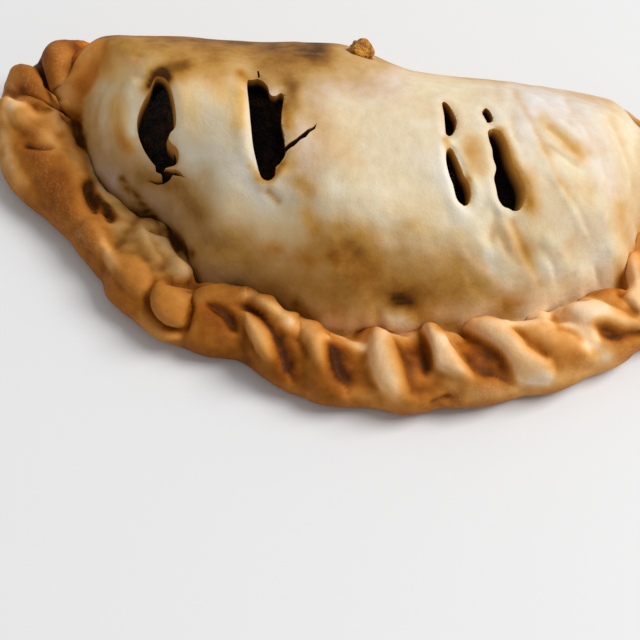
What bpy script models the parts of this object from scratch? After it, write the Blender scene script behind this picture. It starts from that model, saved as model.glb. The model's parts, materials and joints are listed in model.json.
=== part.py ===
"""A baked calzone: thin dough folded over a filling, its open edge pinched into a rope.

Metres, +Z up.  The origin is on the table under the middle of the calzone.  The straight fold faces
+Y, the pinched edge runs round the left end, the front and the right end, and four slits in the
domed top show the filling.
"""
import math
from types import SimpleNamespace

import bmesh
import bpy
import numpy as np
from mathutils import Vector

MM = 0.001

# ---- driving dimensions ----
LENGTH = 180 * MM       # end to end, along X
DEPTH = 96 * MM         # pinched edge to fold, along Y
HEIGHT = 42 * MM        # table to the top of the dome
DOUGH = 3 * MM          # thickness of the rolled dough
SHRINKAGE = 0.025       # how much smaller the filling is than the hollow in the dough
ROPE_HEIGHT = 13 * MM   # table to the top of the pinched edge
ROPE_WIDTH = 16.2 * MM  # outer edge to the crease beside the dome
FOLD_WIDEST = 12 * MM   # height at which the straight fold reaches furthest back
FOLD_TUCK = 5 * MM      # how far the straight fold rolls in under itself

HALF_LENGTH = LENGTH / 2
HALF_DEPTH = DEPTH / 2

# Seen from above, as shares of the half length and half depth: from the left end of the fold
# round the left end, the front and the right end, and back along the fold.
OUTLINE = (
    (-0.80, 1.00), (-0.94, 0.91), (-1.00, 0.66), (-0.95, 0.29), (-0.75, -0.16), (-0.59, -0.50),
    (-0.46, -0.66), (-0.27, -0.76), (-0.09, -0.94), (0.09, -1.00), (0.33, -0.95), (0.58, -0.80),
    (0.78, -0.61), (0.93, -0.31), (1.00, 0.02), (1.00, 0.38), (0.89, 0.61), (0.66, 0.73),
    (0.37, 0.80), (0.16, 0.86), (0.03, 0.95), (-0.14, 0.99), (-0.50, 1.00),
)
DOME_CENTRE = np.array([0.02 * HALF_LENGTH, 0.26 * HALF_DEPTH])
DOME_REACH = 34 * MM    # distance from its edge at which the dome has its full height
SHOULDER = 4.5          # how steeply the dome rises from the pinched edge
CROWN = 0.2             # share of the dome's height that is a gentle crown
FOLD_ROUND = 1.9        # fullness of the rounded back
FOLD_REACH = 38 * MM    # distance from the fold at which the dome has its full height
FOLD_SPREAD = 1.5       # above 1, rings lie closer together towards the fold

# The pinched edge, as distances along the outline from its first point.
ROPE_START = 6 * MM
ROPE_END = 300 * MM
ROPE_FADE = 15 * MM
FOLD_STRETCH = 60 * MM  # last stretch of the outline, counted as a negative distance
ROPE_MIDDLE = 0.4       # height of the rope's widest place, as a share of its height

# Places along the pinched edge, in millimetres: width and height as shares of the full rope, and
# how far round its section the crease beside the dome lies, in degrees from the outer edge.
ROPE_PLACES = (
    (-30, 0.45, 1.55, 170), (-14, 0.45, 1.55, 165), (0, 0.52, 1.55, 160), (12, 0.92, 1.40, 160),
    (25, 1.12, 1.20, 158), (42, 1.22, 0.95, 150), (58, 1.00, 0.90, 185), (70, 0.98, 0.90, 185),
    (80, 1.08, 0.90, 180), (93, 1.18, 0.92, 165), (106, 1.00, 1.00, 192), (118, 0.88, 1.00, 195),
    (135, 0.95, 0.98, 190), (155, 1.20, 1.00, 165), (180, 1.20, 1.00, 158), (205, 1.10, 1.00, 175),
    (230, 1.10, 1.00, 180), (270, 1.10, 1.00, 165), (294, 0.80, 0.95, 160), (316, 0.50, 0.95, 160),
)

# Pinched folds, in millimetres: distance along the edge where the crest starts beside the dome,
# distance where it ends at the outer edge, how far it stands up and how deep the dip after it is.
FOLDS = (
    (-14, -18, 0.0, 0.3), (9, 3, 1.8, 3.0), (18, 15, 1.5, 2.6), (29, 27, 1.6, 1.6),
    (50, 48, 0.2, 0.4), (68, 74, 1.0, 1.8), (79, 90, 1.4, 1.2), (96, 106, 1.9, 2.0),
    (108, 114, 1.2, 2.4), (119, 132, 1.6, 2.4), (134, 147, 1.5, 3.0), (151, 165, 1.9, 2.6),
    (170, 181, 1.5, 3.2), (184, 200, 1.8, 2.6), (206, 217, 1.5, 2.6), (220, 230, 1.5, 2.8),
    (235, 243, 1.6, 2.6), (249, 256, 1.4, 2.8), (263, 269, 1.6, 2.4), (277, 281, 1.3, 2.4),
    (290, 292, 1.2, 1.6), (304, 303, 0.3, 0.2),
)
CREST_CURL = 1.8        # how quickly a crest turns from along the rope to across it
DIP_PLACE = 0.66        # share of the way from one crest to the next where the dip is deepest
CREST_ROUND = 0.7       # below 1, crests are plump and dips are narrow
OUTSIDE_RELIEF = 0.8    # share of the folds' relief that is left at the outer edge
FULL_RELIEF = 0.3       # share of the way to the dome from which the relief is whole
CREASE_RELIEF = 0.8     # share that is left beside the dome
CREASE_FADE = 0.08      # share of the way up the dome over which it fades out

SWELLING_ALLOWANCE = 0.6 * MM  # what the highest swelling adds
# Soft swellings and dents of the dome, in millimetres: x, y, radius and rise.
SWELLINGS = (
    (-35, 20, 26, 1.0), (30, 12, 30, 0.8), (60, 6, 16, -1.2), (-60, 12, 14, -0.8),
    (5, -22, 9, -1.0), (-12, 4, 18, -0.6), (38, -8, 14, 0.8),
    (-72, 44, 17, -8.0), (56, 30, 16, -2.0),
)

# Slits, in millimetres and degrees: x, y, length, width, turn of the top towards -X, and how far
# the filling under them is sunken.
SLITS = (
    (-46.0, 11.0, 20.0, 9.8, -4.0, 10), (-22.8, 5.0, 24.5, 8.0, 6.3, 11),
    (20.0, -1.2, 24.3, 2.4, 8.3, 7), (30.2, -3.0, 21.0, 4.5, 14.0, 7),
)
SLIT_FLOOR = 16 * MM    # lowest point of the slits' cutters, inside the hollow
SLIT_POINTS = 20        # points round one slit
SLIT_TAPER = 0.85       # below 1, a slit's ends are blunter than those of a lens
HOLLOW_MARGIN = 3.5 * MM  # how far beside a slit the filling is sunken too
FILLING_SINK = 2.5 * MM   # how far the filling has settled under the top of the dome
SINK_LOW = 18 * MM      # heights between which that settling begins
SINK_HIGH = 32 * MM
SINK_SHARE = 0.25       # share of the way up from the wall at which it is whole
FILLING_MIDDLE = 20 * MM  # height of the place towards which the filling has shrunk

# A crumb of filling that has baked onto the fold: its middle, radius and how far it sits out.
CRUMB_SPOT = (0.8 * MM, 33.5 * MM)
CRUMB_RADIUS = 3.4 * MM
CRUMB_OUT = 1.5 * MM
CRUMB_LUMPS = 0.14      # unevenness of the crumb, as a share of its radius
NOTCH_GAP = 0.35 * MM   # clearance between the crumb and its seat in the dough

TURN_SMOOTHING = 20 * MM  # distance either way over which the inward direction is averaged
CURVE_STEPS = 40        # steps between two points of the outline
EDGE_POWER = 5          # how sharply the nearest edge counts in the distance to the dome's edge
EDGE_CONSTANT = 4 / 3   # the same sum along a straight edge one unit away
EDGE_SAMPLES = 900      # points round the outline that the distance is taken to
EDGE_NEAREST = 0.15     # least distance to one of them, as a share of their spacing
PROBE = 0.05 * MM       # step with which the dome's slope is measured

# ---- meshing ----
COLUMNS = 160
DOME_SHARES = (0.93, 0.8, 0.66, 0.53, 0.41, 0.3, 0.21, 0.13, 0.075, 0.035, 0.0)
ROPE_SHARES = (0.93, 0.86, 0.77, 0.67, 0.56, 0.45, 0.34, 0.23, 0.12, 0.0, -0.35, -0.7, -1.0)
HOLLOW_COLUMNS = 56
HOLLOW_SHARES = (0.92, 0.82, 0.71, 0.6, 0.5, 0.41, 0.32, 0.24, 0.16, 0.09, 0.04)
WALL_LEAN = 1 * MM      # how much further in the hollow's wall stands at its foot

# ---- materials: base colour and roughness ----
CRUST_COLOUR = (0.62, 0.40, 0.18, 1.0)
CRUST_ROUGHNESS = 0.7
FILLING_COLOUR = (0.075, 0.028, 0.010, 1.0)
FILLING_ROUGHNESS = 0.45
CRUMB_COLOUR = (0.42, 0.17, 0.04, 1.0)
CRUMB_ROUGHNESS = 0.6


def closed_curve(points, count):
    """Evenly spaced points on a smooth closed curve, their distances along it and its length."""
    steps = np.linspace(0.0, 1.0, CURVE_STEPS, endpoint=False)[:, None]
    stretches = []
    for index in range(len(points)):
        before, start, end, after = (
            np.array(points[(index + shift) % len(points)]) for shift in (-1, 0, 1, 2))
        stretches.append(0.5 * (
            2 * start + (end - before) * steps
            + (2 * before - 5 * start + 4 * end - after) * steps ** 2
            + (3 * start - before - 3 * end + after) * steps ** 3))
    dense = np.concatenate(stretches + [stretches[0][:1]])
    along = np.concatenate([[0.0], np.cumsum(np.linalg.norm(np.diff(dense, axis=0), axis=1))])
    places = np.linspace(0.0, along[-1], count, endpoint=False)
    curve = np.stack([np.interp(places, along, dense[:, axis]) for axis in (0, 1)], axis=1)
    return curve, places, along[-1]


def smooth_step(low, high, value):
    share = np.clip((value - low) / (high - low), 0.0, 1.0)
    return share * share * (3.0 - 2.0 * share)


def outline_columns(count):
    """Everything that depends only on the place round the outline, for evenly spaced columns."""
    points = [(x * HALF_LENGTH, y * HALF_DEPTH) for x, y in OUTLINE]
    curve, places, total = closed_curve(points, count)
    tangent = np.roll(curve, -1, axis=0) - np.roll(curve, 1, axis=0)
    reach = max(1, round(TURN_SMOOTHING * count / total))
    tangent = sum(np.roll(tangent, shift, axis=0) for shift in range(-reach, reach + 1))
    tangent /= np.linalg.norm(tangent, axis=1, keepdims=True)
    places = np.where(places > total - FOLD_STRETCH, places - total, places)
    stations = np.array(ROPE_PLACES).T
    column = SimpleNamespace(curve=curve, places=places)
    column.inward = np.stack([-tangent[:, 1], tangent[:, 0]], axis=1)
    column.rope = (smooth_step(ROPE_START - ROPE_FADE, ROPE_START, places)
                   * smooth_step(ROPE_END + ROPE_FADE, ROPE_END, places))
    column.width = ROPE_WIDTH * np.interp(places, stations[0] * MM, stations[1])
    column.height = ROPE_HEIGHT * np.interp(places, stations[0] * MM, stations[2])
    column.last_turn = np.radians(np.interp(places, stations[0] * MM, stations[3]))
    column.valley, column.crease_up, _ = rope_section(column, 1.0)
    column.crease = curve + column.inward * column.valley[:, None]
    column.foot = curve + column.inward * (column.rope * column.valley)[:, None]
    column.spacing = total / count
    return column


def dome_height(edge, spot):
    """Height of the dough over places on the table, out of the distance to the dome's edge.

    The distance is to a straight edge that has the same sum of inverse fifth powers, which
    rounds off the places that are as near to one edge as to another.
    """
    away = np.linalg.norm(spot[:, None, :] - edge.foot[None, :, :], axis=2)
    pull = np.maximum(away, EDGE_NEAREST * edge.spacing) ** -EDGE_POWER
    total = pull.sum(axis=1)
    distance = (total * edge.spacing / EDGE_CONSTANT) ** (-1 / (EDGE_POWER - 1))
    pinched = pull @ edge.rope / total
    crease_up = pull @ edge.crease_up / total
    top = top_height(spot)
    left = 1 - np.clip(distance / DOME_REACH, 0, 1)
    swell = (1 - CROWN) * (1 - left ** SHOULDER) + CROWN * (1 - left ** 2)
    left = 1 - np.clip(distance / FOLD_REACH, 0, 1)
    rounded = (1 - left ** FOLD_ROUND) ** (1 / FOLD_ROUND)
    return (pinched * (crease_up + (top - crease_up) * swell)
            + (1 - pinched) * (FOLD_WIDEST + (top - FOLD_WIDEST) * rounded))


def fold_relief(places, share):
    """Rise of the pinched folds at a share of the way from the outer edge to the dome."""
    start, end, rise, dip = np.array(FOLDS).T * MM
    across = 1.0 - max(share, 0.0) ** CREST_CURL
    crests = start + (end - start) * across
    after = np.clip(np.searchsorted(crests, places), 1, len(FOLDS) - 1)
    between = np.clip((places - crests[after - 1]) / (crests[after] - crests[after - 1]), 0, 1)
    falling = 0.5 * (1 + np.cos(np.pi * between / DIP_PLACE))
    rising = 0.5 * (1 + np.cos(np.pi * (1 - between) / (1 - DIP_PLACE)))
    crest = np.where(between < DIP_PLACE, falling, rising) ** CREST_ROUND
    return (rise[after - 1] * (1 - between) + rise[after] * between) * crest \
        - dip[after - 1] * (1 - crest)


def rope_section(column, share):
    """Inward distance, height and slant of the smooth rope.

    A share of -1 is the foot on the table, 0 the outer edge and 1 the crease beside the dome.
    """
    middle = ROPE_MIDDLE * column.height
    rise = (1 - ROPE_MIDDLE) * column.height
    foot_turn = math.asin(ROPE_MIDDLE / (1 - ROPE_MIDDLE))
    turn = share * np.where(share < 0, foot_turn, column.last_turn)
    inward = column.width / 2 * (1 - np.cos(turn))
    up = np.maximum(middle + rise * np.sin(turn), 0.0)
    slant = np.stack([-rise * np.cos(turn), column.width / 2 * np.sin(turn)], axis=1)
    return inward, up, slant / np.linalg.norm(slant, axis=1, keepdims=True)


def top_height(spot):
    """Height of the top of the dough over a place on the table, far from the edges."""
    height = np.full(len(spot), HEIGHT - SWELLING_ALLOWANCE)
    for x, y, radius, rise in SWELLINGS:
        away = np.hypot(spot[:, 0] - x * MM, spot[:, 1] - y * MM) / (radius * MM)
        height += rise * MM * np.exp(-away ** 2)
    return height


def rope_ring(column, edge, share):
    """One ring of points round the pinched edge and the fold."""
    inward, up, slant = rope_section(column, share)
    if share < 0:
        lean = math.pi / 2 * (1 + share)
        back_inward = np.full_like(inward, FOLD_TUCK * (1 - math.sin(lean)))
        back_up = np.full_like(up, FOLD_WIDEST * (1 - math.cos(lean)))
        fade = (1 + share) * OUTSIDE_RELIEF
    else:
        back_inward = column.valley * share ** FOLD_SPREAD
        spot = column.curve + column.inward * back_inward[:, None]
        back_up = dome_height(edge, spot) if share > 0 else np.full_like(up, FOLD_WIDEST)
        fade = OUTSIDE_RELIEF + (1 - OUTSIDE_RELIEF) * smooth_step(0.0, FULL_RELIEF, share)
    bump = fade * fold_relief(column.places, share)
    inward = inward + bump * slant[:, 0]
    up = up + bump * slant[:, 1]
    inward = column.rope * inward + (1 - column.rope) * back_inward
    up = column.rope * up + (1 - column.rope) * back_up
    spot = column.curve + column.inward * inward[:, None]
    return np.column_stack([spot, up])


def dome_ring(column, edge, share):
    """One ring of points on the dome, from the crease at 0 towards the centre at 1."""
    spot = column.crease + (DOME_CENTRE - column.crease) * share
    up = dome_height(edge, spot)
    fade = CREASE_RELIEF * (1 - smooth_step(0.0, CREASE_FADE, share))
    return np.column_stack([spot, up + column.rope * fade * fold_relief(column.places, 1.0)])


def closed_skin(name, rings, top, bottom):
    """A closed mesh: a ball of rings and columns whose points are moved to the given places."""
    count = len(rings[0])
    rows = len(rings) + 1
    skin = bmesh.new()
    bmesh.ops.create_uvsphere(skin, u_segments=count, v_segments=rows, radius=1.0)
    for vertex in skin.verts:
        row = round(math.acos(max(-1.0, min(1.0, vertex.co.z))) / math.pi * rows)
        place = round(math.atan2(vertex.co.y, vertex.co.x) / (2 * math.pi) * count) % count
        if row == 0:
            vertex.co = top
        elif row == rows:
            vertex.co = bottom
        else:
            vertex.co = rings[row - 1][place]
    return add_piece(name, skin)


def outer_rings(column, edge):
    """All rings of the dough's outside, from the top of the dome to the table."""
    return ([dome_ring(column, edge, share) for share in DOME_SHARES]
            + [rope_ring(column, edge, share) for share in ROPE_SHARES])


def below_dome(edge, spot, depth):
    """Points a given depth inside the dome's surface, measured square to it."""
    slopes = [
        (dome_height(edge, spot + step) - dome_height(edge, spot - step)) / (2 * PROBE)
        for step in PROBE * np.eye(2)]
    square = np.column_stack([-slopes[0], -slopes[1], np.ones(len(spot))])
    square /= np.linalg.norm(square, axis=1, keepdims=True)
    return np.column_stack([spot, dome_height(edge, spot)]) - depth * square


def sinking(points):
    """How far the filling has settled at each of its top points, most of all under the slits."""
    sunk = FILLING_SINK * smooth_step(SINK_LOW, SINK_HIGH, points[:, 2])
    for x, y, length, width, turn, dent in SLITS:
        lean = math.radians(turn)
        offset = points[:, :2] - np.array([x, y]) * MM
        across = offset[:, 0] * math.cos(lean) + offset[:, 1] * math.sin(lean)
        along = offset[:, 1] * math.cos(lean) - offset[:, 0] * math.sin(lean)
        away = np.hypot(across / (width / 2 * MM + HOLLOW_MARGIN), along / (length / 2 * MM))
        sunk = np.maximum(sunk, dent * MM * np.exp(-away ** 4))
    return sunk


def hollow_rings(column, edge):
    """Rings of the hollow in the dough: under the dome, halfway down the wall and its foot."""
    rings = []
    for share in HOLLOW_SHARES:
        spot = column.crease + (DOME_CENTRE - column.crease) * share
        rings.append(below_dome(edge, spot, DOUGH))
    foot = rings[-1][:, :2] + column.inward * WALL_LEAN
    foot = np.column_stack([foot, np.full(len(foot), DOUGH)])
    return rings + [(rings[-1] + foot) / 2, foot]


def filling_rings(rings):
    """The same rings for the filling, which has shrunk from the dough and settled."""
    middle = np.array([*DOME_CENTRE, FILLING_MIDDLE])
    rings = [middle + (ring - middle) * (1 - SHRINKAGE) for ring in rings]
    for ring, share in zip(rings, HOLLOW_SHARES):
        ring[:, 2] -= sinking(ring) * smooth_step(0.0, SINK_SHARE, share)
    return rings


def add_piece(name, solid):
    """Put a finished mesh into the scene under a name."""
    mesh = bpy.data.meshes.new(name)
    solid.to_mesh(mesh)
    solid.free()
    mesh.shade_smooth()
    piece = bpy.data.objects.new(name, mesh)
    bpy.context.collection.objects.link(piece)
    return piece


def slit_cutter(name, x, y, length, width, turn):
    """An upright prism with the plan of a pointed slit."""
    solid = bmesh.new()
    rim = bmesh.ops.create_circle(solid, cap_ends=True, segments=SLIT_POINTS, radius=1.0)
    for vertex in rim["verts"]:
        along = vertex.co.y
        across = math.copysign(max(0.0, 1 - along ** 2) ** SLIT_TAPER, vertex.co.x)
        if abs(along) > 1 - 1e-6:
            across = 0.0
        vertex.co = (across * width / 2, along * length / 2, 0.0)
    wall = bmesh.ops.extrude_face_region(solid, geom=solid.faces[:])
    raised = [item for item in wall["geom"] if isinstance(item, bmesh.types.BMVert)]
    bmesh.ops.translate(solid, verts=raised, vec=(0.0, 0.0, 2 * HEIGHT))
    bmesh.ops.recalc_face_normals(solid, faces=solid.faces)
    piece = add_piece(name, solid)
    piece.location = (x, y, SLIT_FLOOR)
    piece.rotation_euler = (0.0, 0.0, math.radians(turn))
    return piece


def crumb_lump(name, middle, radius):
    """A lumpy ball of baked filling."""
    solid = bmesh.new()
    bmesh.ops.create_icosphere(solid, subdivisions=3, radius=1.0)
    for vertex in solid.verts:
        x, y, z = vertex.co
        lumps = math.sin(4.1 * x + 1.0) * math.sin(3.7 * y + 0.4) + math.sin(4.6 * z - 0.7) * x
        vertex.co = Vector(middle) + vertex.co * radius * (1 + CRUMB_LUMPS * lumps)
    return add_piece(name, solid)


def cut(piece, cutter):
    """Take a cutter away from a piece and hide it."""
    modifier = piece.modifiers.new(cutter.name, "BOOLEAN")
    modifier.operation = "DIFFERENCE"
    modifier.solver = "EXACT"
    modifier.object = cutter
    cutter.hide_render = True
    cutter.display_type = "WIRE"


def paint(piece, colour, roughness):
    """Give a piece its own plain material."""
    material = bpy.data.materials.new(piece.name)
    material.use_nodes = True
    shader = material.node_tree.nodes["Principled BSDF"]
    shader.inputs["Base Color"].default_value = colour
    shader.inputs["Roughness"].default_value = roughness
    piece.data.materials.append(material)


def main():
    for leftover in list(bpy.data.objects):
        bpy.data.objects.remove(leftover)
    edge = outline_columns(EDGE_SAMPLES)
    centre = DOME_CENTRE[None, :]

    rings = outer_rings(outline_columns(COLUMNS), edge)
    crust = closed_skin("crust", rings, below_dome(edge, centre, 0.0)[0], (*DOME_CENTRE, 0.0))

    rings = hollow_rings(outline_columns(HOLLOW_COLUMNS), edge)
    top = below_dome(edge, centre, DOUGH)[0]
    cut(crust, closed_skin("hollow", rings, top, (*DOME_CENTRE, DOUGH)))
    for index, (x, y, length, width, turn, _) in enumerate(SLITS):
        cut(crust, slit_cutter(f"slit_{index + 1}", x * MM, y * MM, length * MM, width * MM, turn))

    rings = filling_rings(rings)
    top[2] = rings[0][:, 2].mean()
    filling = closed_skin("filling", rings, top, (*DOME_CENTRE, rings[-1][0, 2]))

    seat = below_dome(edge, np.array([CRUMB_SPOT]), -CRUMB_OUT)[0]
    crumb = crumb_lump("filling_crumb", seat, CRUMB_RADIUS)
    cut(crust, crumb_lump("crumb_seat", seat, CRUMB_RADIUS + NOTCH_GAP))

    paint(crust, CRUST_COLOUR, CRUST_ROUGHNESS)
    paint(filling, FILLING_COLOUR, FILLING_ROUGHNESS)
    paint(crumb, CRUMB_COLOUR, CRUMB_ROUGHNESS)


main()
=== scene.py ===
import json
import math
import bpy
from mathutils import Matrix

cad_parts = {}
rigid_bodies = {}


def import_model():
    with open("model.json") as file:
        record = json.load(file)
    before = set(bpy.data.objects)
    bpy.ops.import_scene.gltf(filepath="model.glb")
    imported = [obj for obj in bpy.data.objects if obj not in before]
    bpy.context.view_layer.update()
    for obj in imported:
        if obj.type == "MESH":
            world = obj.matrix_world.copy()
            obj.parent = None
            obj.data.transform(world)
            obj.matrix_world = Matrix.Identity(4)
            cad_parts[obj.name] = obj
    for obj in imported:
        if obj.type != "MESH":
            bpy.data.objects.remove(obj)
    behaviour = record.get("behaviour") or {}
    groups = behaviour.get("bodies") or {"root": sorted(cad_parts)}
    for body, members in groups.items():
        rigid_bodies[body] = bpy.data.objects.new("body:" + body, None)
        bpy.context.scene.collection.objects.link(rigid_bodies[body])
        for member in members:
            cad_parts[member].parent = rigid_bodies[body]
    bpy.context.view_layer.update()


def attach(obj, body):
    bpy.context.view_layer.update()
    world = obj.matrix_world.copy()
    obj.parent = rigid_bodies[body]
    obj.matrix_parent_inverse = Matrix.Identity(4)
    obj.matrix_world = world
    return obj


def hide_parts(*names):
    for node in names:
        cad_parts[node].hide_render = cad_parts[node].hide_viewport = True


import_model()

from types import SimpleNamespace

import bmesh
import bpy
import numpy as np
from mathutils import Matrix, Vector, noise
from mathutils.bvhtree import BVHTree
from mathutils.kdtree import KDTree

MM = 0.001

# ======== camera: it looks down on the front of the calzone ========
PICTURE = 640                     # width and height of the picture, in pixels
CAMERA_AIM = Vector((-8 * MM, -22 * MM, 0.0))
CAMERA_ELEVATION = math.radians(59)
CAMERA_TURN = math.radians(-4)
CAMERA_ROLL = math.radians(4.5)
CAMERA_FIELD = math.radians(25)
PIXELS_PER_MM = 4.215             # at the point the camera aims at
FOCAL = PICTURE / 2 / math.tan(CAMERA_FIELD / 2)

# ======== driving dimensions ========
# The solids have the same sizes, plan, folds and hollow. The rope's width and height from place
# to place, the shifts of the edge, the softer right end and the swellings follow the picture closer.
LENGTH = 180 * MM
DEPTH = 96 * MM
HEIGHT = 42 * MM
DOUGH = 3 * MM            # thickness on top
ROPE_HEIGHT = 13 * MM
ROPE_WIDTH = 16.2 * MM
FOLD_WIDEST = 12 * MM     # height at which the back fold lies furthest out
FOLD_TUCK = 5 * MM        # how much further in the fold's foot lies
HALF_LENGTH = LENGTH / 2
HALF_DEPTH = DEPTH / 2

# Plan, as shares of the half length and half depth: left end, front, right end and back.
OUTLINE = (
    (-0.80, 1.00), (-0.94, 0.91), (-1.00, 0.66), (-0.95, 0.29), (-0.75, -0.16), (-0.59, -0.50),
    (-0.46, -0.66), (-0.27, -0.76), (-0.09, -0.94), (0.09, -1.00), (0.33, -0.95), (0.58, -0.80),
    (0.78, -0.61), (0.93, -0.31), (1.00, 0.02), (1.00, 0.38), (0.89, 0.61), (0.66, 0.73),
    (0.37, 0.80), (0.16, 0.86), (0.03, 0.95), (-0.14, 0.99), (-0.50, 1.00),
)
DOME_CENTRE = np.array([0.02 * HALF_LENGTH, 0.26 * HALF_DEPTH])
DOME_REACH = 34 * MM      # distance from the rope over which the dome rises
SHOULDER = 4.5            # how steep the rise is beside the rope
SHOULDER_RIGHT = 3.0      # at the right end, which falls away more gently
SHOULDER_CHANGE = (45 * MM, 75 * MM)    # between these places along the length
CROWN = 0.2               # share of the rise that is gentle all the way
FOLD_ROUND = 1.9          # roundness of the rise from the straight fold, 2 being elliptic
FOLD_REACH = 38 * MM      # distance over which it rises
FOLD_SPREAD = 1.5         # above 1, rings lie closer together at the fold's edge
ROPE_START = 6 * MM       # distances along the edge between which it is pinched
ROPE_END = 300 * MM
ROPE_FADE = 15 * MM       # stretch at either end over which that fades
FOLD_STRETCH = 60 * MM    # the edge's last stretch, counted backwards from its start
ROPE_MIDDLE = 0.4         # share of its height at which the rope lies furthest out
# Distance along the edge in millimetres, width and height shares, and the crease's turn in degrees.
ROPE_PLACES = (
    (-30, 0.45, 1.55, 170), (-14, 0.45, 1.55, 165), (0, 0.72, 1.55, 140), (6, 1.04, 1.48, 135),
    (12, 1.14, 1.36, 130), (18, 1.24, 1.27, 140), (25, 1.27, 1.18, 156), (36, 1.38, 1.00, 152),
    (44, 1.40, 0.94, 152), (50, 1.28, 0.92, 165), (58, 1.04, 0.90, 185), (66, 0.94, 0.90, 185),
    (72, 0.95, 0.90, 184), (78, 1.12, 0.90, 181), (84, 1.30, 0.91, 175), (91, 1.33, 0.92, 168),
    (98, 1.20, 0.92, 178), (106, 1.04, 0.86, 190), (118, 1.08, 0.84, 192), (124, 1.03, 0.86, 190),
    (135, 1.05, 0.92, 188), (144, 1.08, 0.90, 176), (155, 1.20, 0.96, 165), (180, 1.20, 1.00, 158),
    (205, 1.10, 1.00, 175), (222, 1.08, 1.00, 174), (229, 0.98, 1.00, 166), (235, 1.08, 1.00, 152),
    (242, 1.27, 1.00, 145), (252, 1.38, 1.00, 142), (262, 1.26, 1.00, 142), (272, 1.00, 0.98, 145),
    (284, 0.76, 0.92, 145), (296, 0.55, 0.86, 125), (316, 0.40, 0.80, 115),
)
# Distance along the edge and how far the edge lies further out there, in millimetres.
EDGE_SHIFTS = ((50, 0.0), (60, -1.6), (70, -2.2), (78, -1.6), (88, 0.0), (124, 0.0), (130, 1.6),
               (138, 2.2), (146, 1.0), (156, 0.0), (190, 0.6), (200, 1.2), (212, 1.0), (225, 0.0))
# Distances along the edge at which each crest starts beside the dome and ends outside, its rise
# and the depth of the dip after it, in millimetres.
FOLDS = (
    (-14, -18, 0.0, 0.3), (9, 3, 1.8, 3.0), (18, 15, 1.5, 2.6), (29, 27, 1.6, 1.6),
    (50, 48, 0.2, 0.4), (68, 74, 1.0, 1.8), (79, 90, 1.4, 1.2), (96, 106, 1.9, 2.0),
    (108, 114, 1.2, 2.4), (119, 132, 1.6, 2.4), (134, 147, 1.5, 3.0), (151, 165, 1.9, 2.6),
    (170, 181, 1.5, 3.2), (184, 200, 1.8, 2.6), (206, 217, 1.5, 2.6), (220, 230, 1.5, 2.8),
    (235, 243, 1.6, 2.6), (249, 256, 1.4, 2.8), (263, 269, 1.6, 2.4), (277, 281, 1.3, 2.4),
    (290, 292, 1.2, 1.6), (304, 303, 0.3, 0.2),
)
CREST_CURL = 1.8          # the crests turn aside most beside the dome
DIP_PLACE = 0.66          # share of the way from one crest to the next
CREST_ROUND = 0.7         # below 1, crests are broad and dips narrow
OUTSIDE_RELIEF = 0.8      # share of the folds' relief at the outer edge
FULL_RELIEF = 0.3         # share of the way to the crease from which it is full
CREASE_RELIEF = 0.8       # share of it left at the dome's foot
CREASE_FADE = 0.08        # share of the way to the centre over which that fades
SWELLING_ALLOWANCE = 0.6 * MM  # what the swellings add at the highest place
# Swellings and hollows of the top and its back edge: middle, radius and rise in millimetres.
SWELLINGS = (
    (-35, 20, 26, 1.0), (30, 12, 30, 0.8), (60, 6, 16, -1.2), (-60, 12, 14, -0.8),
    (5, -22, 9, -1.0), (-12, 4, 18, -0.6), (38, -8, 14, 0.8),
    (-74, 44, 15, -6.0), (-28, 46, 20, -4.0), (24, 38, 17, -6.0), (11, 41, 9, -4.5),
    (50, 34, 18, -5.0), (72, 20, 16, -4.0), (64, 30, 13, -4.0),
)
TURN_SMOOTHING = 20 * MM  # distance either way over which the edge's direction is evened
CURVE_STEPS = 40          # from each point of an outline to the next
# The distance from the edge is a soft one, out of the sum of 1 / distance ** 5 over all the edge.
EDGE_POWER = 5
EDGE_CONSTANT = 4 / 3     # that sum at distance 1 from a long straight edge
EDGE_SAMPLES = 900
EDGE_NEAREST = 0.15       # smallest distance that counts, as a share of the samples' spacing
PROBE = 0.05 * MM         # step either way for measuring a slope
# Rings of the hollow under the dome, as shares of the way from the crease to the centre.
HOLLOW_SHARES = (0.92, 0.82, 0.71, 0.6, 0.5, 0.41, 0.32, 0.24, 0.16, 0.09, 0.04)
WALL_LEAN = 1 * MM        # how much further in the hollow's wall stands at its foot

# ======== fineness of the visible skin ========
COLUMNS = 620
DOME_RINGS = 88
ROPE_RINGS = 52
FOOT_RINGS = 6
FILLING_COLUMNS = 240
FILLING_RINGS = 70
HOLLOW_COLUMNS = 120
FIRST_SHARE = 0.985     # where rings begin, just short of the centre or of the crease
SEAM_GAP = 1e-7         # metres; points closer than this are one point
TINY = 1e-12            # keeps divisions from failing where a length is nothing
NOISE_STEPS = (7.3, 3.1, 5.7)    # how far apart the noise of two seeds is taken


# ======== shape functions ========
def closed_curve(points, count):
    """Evenly spaced points on a smooth closed curve, their distances along it and its length."""
    steps = np.linspace(0.0, 1.0, CURVE_STEPS, endpoint=False)[:, None]
    stretches = []
    for index in range(len(points)):
        before, start, end, after = (
            np.array(points[(index + shift) % len(points)]) for shift in (-1, 0, 1, 2))
        stretches.append(0.5 * (
            2 * start + (end - before) * steps
            + (2 * before - 5 * start + 4 * end - after) * steps ** 2
            + (3 * start - before - 3 * end + after) * steps ** 3))
    dense = np.concatenate(stretches + [stretches[0][:1]])
    along = np.concatenate([[0.0], np.cumsum(np.linalg.norm(np.diff(dense, axis=0), axis=1))])
    places = np.linspace(0.0, along[-1], count, endpoint=False)
    curve = np.stack([np.interp(places, along, dense[:, axis]) for axis in (0, 1)], axis=1)
    return curve, places, along[-1]


def smooth_step(low, high, value):
    """0 on the low side and 1 on the high side, with a smooth rise between; low may be the larger."""
    share = np.clip((value - low) / (high - low), 0.0, 1.0)
    return share * share * (3.0 - 2.0 * share)


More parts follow.
